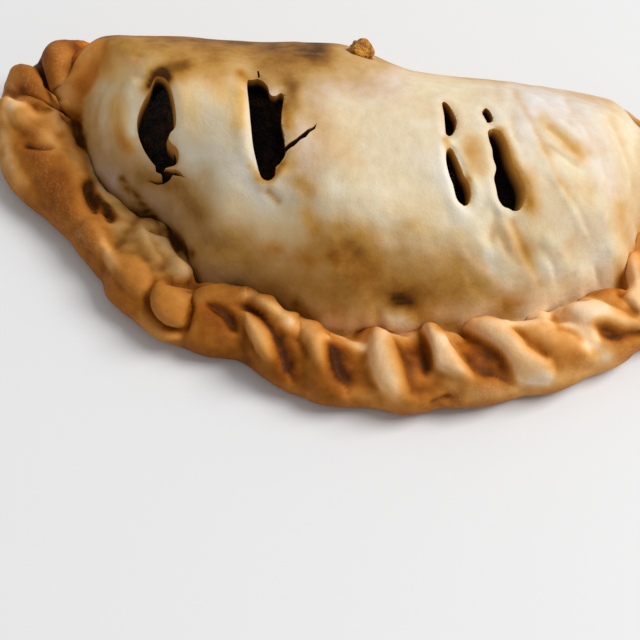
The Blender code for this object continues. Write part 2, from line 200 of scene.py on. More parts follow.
def rope_section(column, share):
    """Inward distance, height and slant of the smooth rope: -1 foot, 0 outer edge, 1 crease."""
    middle = ROPE_MIDDLE * column.height
    rise = (1 - ROPE_MIDDLE) * column.height
    foot_turn = math.asin(ROPE_MIDDLE / (1 - ROPE_MIDDLE))
    turn = share * np.where(share < 0, foot_turn, column.last_turn)
    inward = column.width / 2 * (1 - np.cos(turn))
    up = np.maximum(middle + rise * np.sin(turn), 0.0)
    slant = np.stack([-rise * np.cos(turn), column.width / 2 * np.sin(turn)], axis=1)
    return inward, up, slant / np.linalg.norm(slant, axis=1, keepdims=True)


def outline_columns(count):
    """Everything that depends only on the place round the outline, for evenly spaced columns."""
    points = [(x * HALF_LENGTH, y * HALF_DEPTH) for x, y in OUTLINE]
    curve, places, total = closed_curve(points, count)
    tangent = np.roll(curve, -1, axis=0) - np.roll(curve, 1, axis=0)
    reach = max(1, round(TURN_SMOOTHING * count / total))
    tangent = sum(np.roll(tangent, shift, axis=0) for shift in range(-reach, reach + 1))
    tangent /= np.linalg.norm(tangent, axis=1, keepdims=True)
    stations = np.array(ROPE_PLACES).T
    column = SimpleNamespace(along=places, total=total, spacing=total / count)
    places = np.where(places > total - FOLD_STRETCH, places - total, places)
    column.inward = np.stack([-tangent[:, 1], tangent[:, 0]], axis=1)
    shifts = MM * np.array(EDGE_SHIFTS).T
    curve = curve - column.inward * np.interp(places, *shifts)[:, None]
    column.curve = curve
    column.rope = (smooth_step(ROPE_START - ROPE_FADE, ROPE_START, places)
                   * smooth_step(ROPE_END + ROPE_FADE, ROPE_END, places))
    column.width = ROPE_WIDTH * np.interp(places, stations[0] * MM, stations[1])
    column.height = ROPE_HEIGHT * np.interp(places, stations[0] * MM, stations[2])
    column.last_turn = np.radians(np.interp(places, stations[0] * MM, stations[3]))
    column.valley, column.crease_up, _ = rope_section(column, 1.0)
    column.crease = curve + column.inward * column.valley[:, None]
    column.foot = curve + column.inward * (column.rope * column.valley)[:, None]
    return column


def top_height(spot):
    """Height of the top of the dough over a place on the table, far from the edges."""
    height = np.full(len(spot), HEIGHT - SWELLING_ALLOWANCE)
    for x, y, radius, rise in SWELLINGS:
        away = np.hypot(spot[:, 0] - x * MM, spot[:, 1] - y * MM) / (radius * MM)
        height += rise * MM * np.exp(-away ** 2)
    return height


def dome_height(edge, spot):
    """Height of the dough over places on the table, out of the distance to the dome's edge."""
    squared = (np.subtract.outer(spot[:, 0], edge.foot[:, 0]) ** 2
               + np.subtract.outer(spot[:, 1], edge.foot[:, 1]) ** 2)
    squared = np.maximum(squared, (EDGE_NEAREST * edge.spacing) ** 2)
    pull = 1 / (squared * squared * np.sqrt(squared))
    total = pull.sum(axis=1)
    distance = (total * edge.spacing / EDGE_CONSTANT) ** (-1 / (EDGE_POWER - 1))
    pinched = pull @ edge.rope / total
    crease_up = pull @ edge.crease_up / total
    top = top_height(spot)
    left = 1 - np.clip(distance / DOME_REACH, 0, 1)
    shoulder = SHOULDER + (SHOULDER_RIGHT - SHOULDER) * smooth_step(*SHOULDER_CHANGE, spot[:, 0])
    swell = (1 - CROWN) * (1 - left ** shoulder) + CROWN * (1 - left ** 2)
    left = 1 - np.clip(distance / FOLD_REACH, 0, 1)
    rounded = (1 - left ** FOLD_ROUND) ** (1 / FOLD_ROUND)
    return (pinched * (crease_up + (top - crease_up) * swell)
            + (1 - pinched) * (FOLD_WIDEST + (top - FOLD_WIDEST) * rounded))


def fold_relief(places, share):
    """Rise of the pinched folds at a share of the way from the outer edge to the dome."""
    start, end, rise, dip = np.array(FOLDS).T * MM
    across = 1.0 - max(share, 0.0) ** CREST_CURL
    crests = start + (end - start) * across
    after = np.clip(np.searchsorted(crests, places), 1, len(FOLDS) - 1)
    between = np.clip((places - crests[after - 1]) / (crests[after] - crests[after - 1]), 0, 1)
    falling = 0.5 * (1 + np.cos(np.pi * between / DIP_PLACE))
    rising = 0.5 * (1 + np.cos(np.pi * (1 - between) / (1 - DIP_PLACE)))
    crest = np.where(between < DIP_PLACE, falling, rising) ** CREST_ROUND
    return (rise[after - 1] * (1 - between) + rise[after] * between) * crest \
        - dip[after - 1] * (1 - crest)


def rope_ring(column, edge, share, relief):
    """One ring of points round the pinched edge and the fold."""
    inward, up, slant = rope_section(column, share)
    if share < 0:
        lean = math.pi / 2 * (1 + share)
        back_inward = np.full_like(inward, FOLD_TUCK * (1 - math.sin(lean)))
        back_up = np.full_like(up, FOLD_WIDEST * (1 - math.cos(lean)))
        fade = (1 + share) * OUTSIDE_RELIEF
    else:
        back_inward = column.valley * share ** FOLD_SPREAD
        spot = column.curve + column.inward * back_inward[:, None]
        back_up = dome_height(edge, spot) if share > 0 else np.full_like(up, FOLD_WIDEST)
        fade = OUTSIDE_RELIEF + (1 - OUTSIDE_RELIEF) * smooth_step(0.0, FULL_RELIEF, share)
    bump = relief * fade * fold_relief(column.places, share)
    inward = inward + bump * slant[:, 0]
    up = up + bump * slant[:, 1]
    inward = column.rope * inward + (1 - column.rope) * back_inward
    up = column.rope * up + (1 - column.rope) * back_up
    spot = column.curve + column.inward * inward[:, None]
    return np.column_stack([spot, up])


def dome_ring(column, edge, share, relief):
    """One ring of points on the dome, from the crease at 0 towards the centre at 1."""
    spot = column.crease + (DOME_CENTRE - column.crease) * share
    up = dome_height(edge, spot)
    fade = relief * CREASE_RELIEF * (1 - smooth_step(0.0, CREASE_FADE, share))
    return np.column_stack([spot, up + column.rope * fade * fold_relief(column.places, 1.0)])


def below_dome(edge, spot, depth):
    """Points a given depth inside the dome's surface, measured square to it."""
    slopes = [
        (dome_height(edge, spot + step) - dome_height(edge, spot - step)) / (2 * PROBE)
        for step in PROBE * np.eye(2)]
    square = np.column_stack([-slopes[0], -slopes[1], np.ones(len(spot))])
    square /= np.linalg.norm(square, axis=1, keepdims=True)
    return np.column_stack([spot, dome_height(edge, spot)]) - depth * square


# ======== places in the picture ========
STROKE_REACH = 2.5      # a stroke fades out within this many of its widths
camera_back = Vector((
    math.sin(CAMERA_TURN) * math.cos(CAMERA_ELEVATION),
    -math.cos(CAMERA_TURN) * math.cos(CAMERA_ELEVATION),
    math.sin(CAMERA_ELEVATION)))
camera_turned = ((-camera_back).to_track_quat("-Z", "Y").to_matrix().to_4x4()
                 @ Matrix.Rotation(CAMERA_ROLL, 4, "Z"))
camera_place = Matrix.Translation(
    CAMERA_AIM + camera_back * (FOCAL / PIXELS_PER_MM * MM)) @ camera_turned


def in_picture(points):
    """Pixel places of points, and unit directions from the points to the camera."""
    eye = np.array(camera_place.translation)
    turned = np.array(camera_place.to_3x3())
    seen = (points - eye) @ turned
    pixels = PICTURE / 2 + FOCAL * np.column_stack([seen[:, 0], -seen[:, 1]]) / -seen[:, 2:3]
    back = eye - points
    return pixels, back / np.linalg.norm(back, axis=1, keepdims=True)


def stroke(pixels, points, left_hand, right_hand):
    """1 along a line through pixel places, fading to 0 at its sides, each with its own width."""
    line = np.array(points, dtype=float)
    result = np.zeros(len(pixels))
    reach = STROKE_REACH * max(left_hand, right_hand)
    close = ((pixels > line.min(axis=0) - reach) & (pixels < line.max(axis=0) + reach)).all(axis=1)
    spots = pixels[close]
    near = np.full(len(spots), np.inf)
    for start, end in zip(line[:-1], line[1:]):
        run = end - start
        offset = spots - start
        share = np.clip(offset @ run / (run @ run), 0, 1)
        gap = offset - share[:, None] * run
        side = run[0] * offset[:, 1] - run[1] * offset[:, 0]
        width = np.where(side > 0, right_hand, left_hand)
        near = np.minimum(near, (gap ** 2).sum(axis=1) / width ** 2)
    result[close] = np.exp(-near)
    return result


def outline_gap(pixels, outline):
    """Distance in pixels to a closed outline, negative inside it."""
    ring = np.array(outline, dtype=float)
    nearest = np.full(len(pixels), np.inf)
    inside = np.zeros(len(pixels), dtype=bool)
    for start, end in zip(ring, np.roll(ring, -1, axis=0)):
        run = end - start
        offset = pixels - start
        share = np.clip(offset @ run / (run @ run), 0, 1)
        nearest = np.minimum(nearest, np.linalg.norm(offset - share[:, None] * run, axis=1))
        crosses = (start[1] > pixels[:, 1]) != (end[1] > pixels[:, 1])
        rise = run[1] if run[1] else TINY
        inside ^= crosses & (offset[:, 0] < offset[:, 1] / rise * run[0])
    return np.where(inside, -nearest, nearest)


def area(pixels, outline, inner, outer, plump):
    """1 well inside a pixel outline, fading to 0 outside it over an inner and an outer width.

    A plump area is rounded on top and meets its surroundings in a crease.
    """
    ring = np.array(outline, dtype=float)
    result = np.zeros(len(pixels))
    close = ((pixels > ring.min(axis=0) - outer) & (pixels < ring.max(axis=0) + outer)).all(axis=1)
    gap = outline_gap(pixels[close], outline)
    if plump:
        result[close] = np.sin(np.pi / 2 * np.clip((outer - gap) / (outer + inner), 0, 1))
    else:
        result[close] = smooth_step(outer, -inner, gap)
    return result


# ======== what shows from the front, read in the picture ========
# Places that shape and baking share.
BEHIND_LEFT_LOBES = ((97, 182), (112, 202), (132, 216), (152, 220))
LEFT_GROOVE = ((121, 178), (127, 188), (137, 196), (143, 206), (153, 215), (158, 224))
LOWER_GROOVE = ((158, 228), (170, 232), (180, 244), (192, 254))
RIGHT_WRINKLE = ((513, 222), (520, 238), (527, 255), (534, 270), (541, 284))
LEFT_POCKET = ((276, 338), (282, 352), (287, 370))
RIGHT_POCKET = ((453, 341), (463, 354), (474, 366), (489, 374))
RIGHT_BLISTER = ((543, 122), (558, 132), (574, 146), (580, 157))
PALE_PATCH = ((236, 206), (268, 226), (300, 230))
# Lobes and finger dents of the rope: height in mm, change in baking, which paints the lobes paler
# as highlight and the dents darker as shade, widths in pixels over which both fade inside and
# outside the outline and up from its lowest place, and the outline's pixels.
ROPE_AREAS = (
    (1.5, -0.05, 9, 2, 0, ((40, 62), (46, 48), (56, 40), (70, 38), (77, 48), (75, 66), (73, 80),
        (62, 92), (58, 100), (50, 98), (45, 76))),
    (1.2, 0.00, 11, 2, 0, ((6, 82), (10, 68), (22, 60), (36, 58), (40, 66), (46, 84), (50, 100),
        (42, 108), (30, 100), (18, 94))),
    (1.4, -0.02, 9, 2, 0, ((8, 108), (14, 101), (26, 99), (32, 103), (34, 112), (46, 116),
        (56, 122), (60, 132), (52, 146), (40, 142), (28, 134), (14, 124))),
    (0.9, 0.12, 14, 4, 0, ((20, 150), (34, 147), (50, 149), (66, 154), (72, 166), (76, 200),
        (80, 215), (76, 228), (64, 222), (50, 205), (38, 185), (28, 165))),
    (1.4, 0.00, 8, 2, 0, ((79, 230), (86, 220), (96, 221), (102, 231), (104, 246), (98, 254),
        (86, 246))),
    (1.6, -0.06, 10, 2, 0, ((99, 238), (103, 231), (109, 244), (120, 254), (136, 256), (148, 264),
        (152, 280), (148, 300), (134, 296), (118, 280), (105, 262))),
    (2.6, -0.06, 10, 1.5, 0, ((154, 286), (160, 281), (166, 284), (184, 293), (191, 298),
        (190, 308), (185, 326), (176, 329), (166, 326), (157, 319), (151, 309), (150, 298))),
    (1.6, -0.04, 4, 2, 0, ((190, 296), (205, 288), (220, 286), (240, 288), (256, 294), (269, 302),
        (281, 312), (294, 322), (288, 330), (276, 324), (264, 312), (250, 304), (238, 302),
        (220, 300), (205, 301), (194, 304))),
    (-1.6, 0.16, 5, 2, 0, ((205, 302), (216, 301), (229, 304), (236, 311), (239, 322), (239, 334),
        (229, 332), (221, 319), (211, 311))),
    (0.7, 0.10, 7, 3, 0, ((193, 306), (204, 306), (214, 313), (224, 322), (232, 334), (226, 342),
        (212, 338), (201, 330))),
    (-1.2, 0.20, 4, 2, 0, ((240, 303), (252, 306), (264, 314), (273, 326), (277, 342), (270, 332),
        (258, 318), (247, 311))),
    (2.2, -0.30, 8, 2, 16, ((241, 312), (249, 313), (259, 320), (267, 330), (273, 342),
        (276, 356), (274, 366), (265, 362), (257, 350), (250, 336), (244, 324))),
    (-0.5, 0.08, 6, 4, 0, ((276, 336), (284, 332), (292, 342), (299, 358), (296, 370), (284, 368),
        (277, 354))),
    (1.6, -0.36, 9, 3, 22, ((276, 322), (290, 320), (312, 319), (320, 323), (325, 333),
        (328, 346), (328, 364), (323, 374), (315, 362), (308, 346), (298, 336), (286, 330))),
    (0.9, -0.20, 3, 2, 0, ((326, 337), (333, 333), (345, 335), (358, 342), (366, 346), (366, 352),
        (354, 349), (343, 343), (332, 340))),
    (-0.7, 0.08, 9, 5, 0, ((329, 342), (337, 341), (347, 346), (357, 351), (365, 353), (369, 364),
        (375, 378), (384, 392), (368, 392), (350, 388), (336, 382), (329, 370))),
    (1.7, -0.50, 12, 4, 30, ((369, 350), (370, 336), (376, 328), (384, 331), (392, 342),
        (397, 354), (401, 368), (405, 384), (411, 402), (400, 406), (390, 399), (380, 387),
        (373, 376), (368, 364))),
    (-1.2, 0.13, 9, 5, 0, ((394, 340), (404, 343), (415, 341), (421, 328), (426, 336), (430, 348),
        (432, 364), (442, 374), (444, 388), (434, 396), (420, 398), (409, 394), (404, 372),
        (399, 354))),
    (2.0, -0.48, 8, 4, 20, ((417, 322), (425, 323), (435, 326), (443, 334), (451, 341),
        (458, 352), (464, 362), (470, 372), (474, 384), (462, 380), (448, 372), (436, 366),
        (433, 352), (428, 338))),
    (-1.0, 0.06, 12, 4, 0, ((450, 336), (457, 330), (466, 329), (476, 334), (488, 340),
        (500, 349), (507, 360), (513, 374), (516, 388), (504, 392), (494, 388), (483, 377),
        (471, 367), (461, 355))),
    (2.0, -0.48, 8, 4, 34, ((443, 317), (470, 315), (490, 318), (504, 324), (517, 334),
        (527, 346), (538, 355), (549, 361), (554, 374), (548, 386), (530, 388), (520, 383),
        (513, 370), (507, 357), (498, 347), (484, 338), (470, 331), (454, 328))),
    (-1.3, 0.10, 7, 3, 0, ((507, 327), (516, 324), (527, 331), (537, 336), (545, 343), (549, 352),
        (546, 357), (536, 352), (527, 345), (518, 336))),
    (1.4, -0.16, 9, 3, 26, ((506, 323), (518, 314), (530, 307), (544, 303), (550, 318),
        (558, 332), (572, 336), (586, 344), (598, 358), (602, 370), (582, 368), (562, 363),
        (550, 353), (541, 338), (524, 329))),
    (-1.3, 0.06, 4, 2, 0, ((545, 310), (554, 308), (563, 313), (575, 322), (566, 323), (556, 323),
        (548, 321))),
    (1.3, -0.42, 6, 5, 0, ((568, 310), (576, 302), (591, 301), (607, 308), (622, 314), (640, 319),
        (640, 327), (622, 323), (606, 319), (592, 320), (580, 318))),
    (-2.0, 0.04, 6, 2, 0, ((593, 324), (606, 320), (618, 323), (632, 327), (650, 330), (650, 340),
        (626, 341), (610, 341), (600, 337))),
)
# Pinches, creases and flaps of the rope, as strokes: height in mm, width in pixels, or one width
# on the left and one on the right hand as the stroke runs, and the stroke's pixel places.
ROPE_STROKES = (
    (-1.5, 4, 2, ((39, 62), (43, 76), (49, 97))), (-1.4, 3, ((77, 52), (76, 68), (73, 82), (62, 93))),
    (2.2, 7, ((82, 44), (76, 56))), (-1.2, 3, ((6, 90), (18, 98), (29, 105), (38, 112), (50, 110))),
    (-1.4, 3, ((27, 146), (38, 148), (51, 147))), (-1.6, 8, ((66, 118), (80, 124), (84, 140))),
    (-3.8, 7, 6, ((89, 184), (90, 196), (92, 204))), (-2.0, 3, 4, ((98, 197), (105, 206))),
    (-3.2, 5, ((108, 207), (111, 216))), (1.0, 5, ((142, 230), (148, 246), (156, 260))),
    (1.2, 7, 5, ((163, 248), (176, 262), (190, 279))),
    (-2.2, 5, 4, ((150, 225), (171, 233), (179, 249), (190, 258))),
    (-1.9, 3, ((146, 296), (149, 312), (155, 322), (164, 329), (178, 331))),
    (-1.0, 3, ((192, 300), (190, 314), (186, 328))),
    (0.8, 4, ((141, 316), (148, 330), (160, 337), (178, 336))),
    (-3.0, 6, 4, ((168, 279), (192, 283), (215, 279), (240, 280), (259, 286), (268, 292))),
    (-2.0, 5, 4, ((284, 303), (298, 314), (312, 319))), (-1.5, 14, 7, LEFT_POCKET),
    (-2.0, 22, 8, ((332, 344), (335, 360), (340, 374))),
    (-1.1, 3, 9, ((424, 334), (430, 350), (431, 366))), (-2.0, 22, 7, RIGHT_POCKET),
    (-0.9, 4, 2, ((524, 344), (534, 351), (545, 357))),
    (-1.2, 4, 3, ((598, 335), (612, 339), (624, 338))), (-0.6, 2, ((560, 311), (568, 317), (576, 323))),
    (-1.3, 4, ((616, 259), (624, 289))), (-1.3, 4, ((619, 293), (636, 313))),
    (1.2, 6, ((630, 238), (637, 284))), (1.4, 2, ((422, 322), (421, 309))),
    (0.9, 4, ((271, 302), (277, 298))), (1.3, 4, ((241, 286), (244, 298))),
    (0.6, 6, ((236, 292), (252, 296))), (0.7, 5, ((262, 303), (274, 311))),
    (0.8, 5, ((284, 320), (298, 322))), (-0.8, 3, ((432, 403), (448, 397))),
    (0.8, 4, ((446, 404), (464, 402))),
)
# Where the dough is finely wrinkled: strength, width or widths, and places.
WRINKLED_STROKES = (
    (1.0, 34, 30, ((484, 226), (520, 262), (590, 286))),
    (0.6, 30, ((540, 120), (575, 160), (590, 210))), (0.5, 30, ((300, 190), (330, 240), (400, 270))),
    (0.6, 22, ((120, 100), (110, 150), (130, 200))), (0.9, 16, ((118, 226), (146, 240), (160, 256))),
    (0.5, 20, ((60, 160), (66, 200))),
)
# Areas and strokes of the domed top and its front, read like the rope's.
DOME_AREAS = (
    (1.3, -0.20, 9, 5, 0, ((379, 324), (387, 318), (399, 314), (412, 318), (416, 330), (404, 338),
        (389, 336))),
    (0.5, -0.12, 9, 6, 0, ((322, 322), (338, 318), (352, 314), (366, 318), (378, 320), (378, 332),
        (350, 334), (328, 332))),
)
DOME_STROKES = (
    (-0.3, 4, 2, ((331, 318), (337, 330))), (0.3, 3, ((350, 310), (346, 328))),
    (-0.3, 3, 5, ((362, 318), (359, 328))), (-0.5, 3, 6, ((379, 316), (381, 330))),
    (-0.8, 3, LEFT_GROOVE), (-0.7, 3, 4, LOWER_GROOVE), (-0.5, 3, ((136, 55), (140, 57))),
    (-0.4, 3, ((136, 76), (140, 79))), (0.9, 6, 7, ((136, 86), (124, 112), (124, 131), (133, 146))),
    (-0.4, 3, ((110, 82), (98, 100), (94, 124), (99, 150), (110, 170))),
    (-0.3, 3, ((122, 84), (110, 104), (106, 128), (112, 152), (124, 170))),
    (0.5, 8, ((238, 92), (240, 120), (244, 150))), (0.5, 6, ((256, 176), (268, 184), (282, 172))),
    (0.5, 8, ((296, 96), (296, 120), (300, 134))), (-0.8, 3, ((268, 191), (278, 202))),
    (0.3, 12, 4, ((511, 88), (517, 102), (526, 120), (535, 138), (545, 158), (553, 176), (562, 192),
        (574, 212), (582, 230))),
    (-0.3, 3, 5, ((517, 92), (525, 108), (534, 124), (542, 140), (552, 158), (560, 176), (569, 192),
        (581, 212), (588, 228))),
    (-0.4, 3, ((508, 110), (513, 124), (517, 140))), (0.4, 4, ((504, 84), (506, 100), (510, 112))),
    (-0.35, 3, ((565, 100), (580, 118), (592, 136), (602, 156), (608, 178))),
    (-0.3, 3, ((578, 108), (592, 124), (602, 144), (610, 166), (614, 190))),
    (-0.35, 3, ((612, 118), (623, 140), (631, 168), (634, 196))),
    (-0.3, 3, ((546, 124), (560, 132), (574, 146), (582, 158))),
    (-0.35, 2, ((512, 106), (514, 120), (515, 136))),
    (0.4, 5, 3, ((543, 122), (556, 121), (568, 128), (577, 140))),
    (-0.3, 2, 3, ((541, 127), (553, 129), (563, 138), (575, 150))),
    (-0.25, 2, ((566, 96), (572, 110), (570, 124))), (0.3, 4, ((546, 142), (560, 152), (580, 160))),
    (-0.3, 2, ((548, 146), (562, 156), (578, 168))), (-0.3, 2, ((497, 214), (494, 228), (491, 244))),
    (0.4, 4, ((504, 226), (512, 238), (511, 252))), (-0.35, 3, ((499, 236), (506, 250), (518, 262))),
    (0.4, 5, ((548, 240), (562, 252), (566, 268))), (-0.35, 3, ((540, 248), (552, 262), (556, 280))),
    (-0.3, 2, ((583, 268), (594, 262), (604, 254))), (0.35, 4, ((462, 252), (474, 266), (490, 278))),
    (-0.35, 4, 3, ((470, 282), (486, 296), (504, 300))),
    (0.45, 9, ((440, 178), (455, 206), (474, 232), (490, 252), (508, 266), (532, 271), (556, 267),
        (578, 270))),
    (-0.5, 9, 5, RIGHT_WRINKLE), (0.5, 5, ((494, 286), (516, 284), (540, 279))),
    (-0.6, 3, ((608, 254), (597, 268), (598, 284), (586, 294))),
    (-0.5, 5, ((494, 214), (492, 228), (490, 240))), (-0.7, 9, 6, ((397, 306), (404, 303), (410, 307))),
    (-0.6, 16, 12, ((388, 300), (410, 298))), (-0.6, 7, 5, ((507, 307), (522, 303))),
    (0.7, 30, ((330, 200), (420, 205))), (-0.6, 16, ((350, 250), (380, 270))),
    (-0.4, 12, ((296, 262), (330, 300))),
)

# ======== slits ========
# Pixel outlines of the holes in the picture. The two slits on the right are each split by a
# bridge of dough.
SLIT_OUTLINES = (
    ((157, 76), (164, 80), (169, 92), (172, 106), (173, 118), (172, 126), (167, 132), (166, 138),
     (170, 143), (175, 148), (176, 156), (173, 163), (166, 166), (158, 168), (151, 161), (145, 152),
     (140, 141), (137, 128), (138, 115), (143, 102), (149, 91), (153, 81)),
    ((247, 82), (252, 80), (258, 79), (264, 82), (268, 87), (270, 94), (275, 96), (280, 93),
     (283, 94), (282, 102), (281, 111), (281, 121), (283, 131), (284, 141), (284, 152), (279, 160),
     (275, 165), (274, 172), (269, 177), (263, 176), (259, 170), (256, 160), (253, 146), (251, 128),
     (249, 106)),
    ((442, 103), (446, 105), (451, 113), (454, 121), (453, 129), (449, 135), (446, 134), (445, 126),
     (444, 115)),
    ((447, 149), (451, 155), (455, 164), (459, 174), (464, 183), (466, 193), (464, 202), (460, 203),
     (456, 197), (453, 185), (449, 174), (446, 160)),
    ((482, 112), (486, 108), (490, 113), (491, 119), (487, 121), (484, 117)),
    ((488, 131), (493, 133), (498, 141), (501, 151), (504, 161), (508, 169), (513, 178), (517, 188),
     (517, 199), (513, 207), (507, 208), (502, 205), (498, 198), (496, 188), (494, 178), (496, 168),
     (493, 158), (492, 149), (489, 140)),
)
# How far each slit widens towards the skin, to the right and down the picture, in pixels.
SLIT_LEANS = ((4, 1), (1, 4), (3, 0), (6, 1), (2, 2), (10, 0))
# Cracks that run on from the slits, as the corners of thin slivers.
CRACK_OUTLINES = (
    ((155, 165), (163, 168), (169, 169), (175, 169), (181, 172), (187, 178), (180, 176), (173, 175),
     (170, 180), (164, 184), (157, 185), (150, 182), (143, 184), (133, 187), (142, 181), (150, 178),
     (157, 179), (162, 177), (161, 174), (156, 172)),
    ((281, 150), (289, 143), (297, 138), (303, 133), (308, 129), (313, 127), (317, 123), (315, 129),
     (310, 132), (306, 137), (300, 140), (294, 146), (287, 151), (281, 156)),
    ((257, 71), (259, 71), (260, 77), (258, 78)),
)
SLIT_CORNERS = 90
SLIT_FLOOR = 16 * MM       # height down to which the dough is cut
SLIT_WALL = 2.6 * MM       # depth of the cut's slanting wall
SKIN_CLEAR = 0.4 * MM      # height above the skin from which the cut is upright
LIP_RISE = 0.35 * MM       # how far the dough stands up round a slit
LIP_WIDE = 9               # pixels
LIP_FALL = 0.6 * MM        # how far it rounds down into the slit
LIP_NARROW = 2.5           # pixels
CRACK_SHADE_RATE = 6           # how many times faster the painted shade deepens inwards at a thin crack
CRACK_ENDS = (5, 1)        # pixels from the crack over which this sets in

# ======== baking, 0 raw to 1 burnt, with painted shade and highlight ===
DOME_BAKED = 0.20
DOME_LOW_BROWN_AND_SHADE = 0.28           # more for the dome's low parts, partly browning and partly painted shade on the front flank
DOME_LOW_ENDS = (36 * MM, 20 * MM)
ROPE_BAKED = 0.68
UNDER_SHADE = 0.10              # painted shade: more where the dough faces down
UNDER_ENDS = (0.3, -0.6)
DOME_CREASE_SHADE = 0.10             # painted shade: more in the creases
# painted shade in the rope's creases
ROPE_CREASE_SHADE = 0.12
RIDGE_HIGHLIGHT = -0.25                  # painted highlight: as far as places that stand up are paler
BEHIND_SHADE = 0.25             # painted shade in the crease between the dome and the rope's left part
BEHIND_ENDS = (356, 322)        # pixels
BAKED_FACING = (-0.12, 0.06)    # how squarely the skin faces the camera where strokes begin to show
ROPE_TINT = 0.35                # how much more orange the rope is
# Where the skin beside the crease looks like the rope or like the dome, as pixel outlines. The
# leaf of dough under the left slit looks like the dome in part.
ROPE_LIKE = ((56, 102), (60, 88), (70, 62), (78, 40), (104, 38), (102, 60), (94, 84), (83, 100),
             (83, 146), (76, 150), (60, 122))
DOME_LIKE = ((84, 98), (84, 146), (90, 172), (98, 190), (108, 203), (118, 214), (134, 224),
             (150, 220), (174, 236), (186, 250), (214, 262), (150, 170), (104, 92))
LEAF_LIKE = ((110, 222), (120, 250), (144, 262), (152, 276), (192, 278), (188, 254), (150, 220))
LIKE_FADE = 3
LIKE_FACING = (-0.3, 0.2)
LEAF_FADE = 6
LEAF_SHARE = 0.75
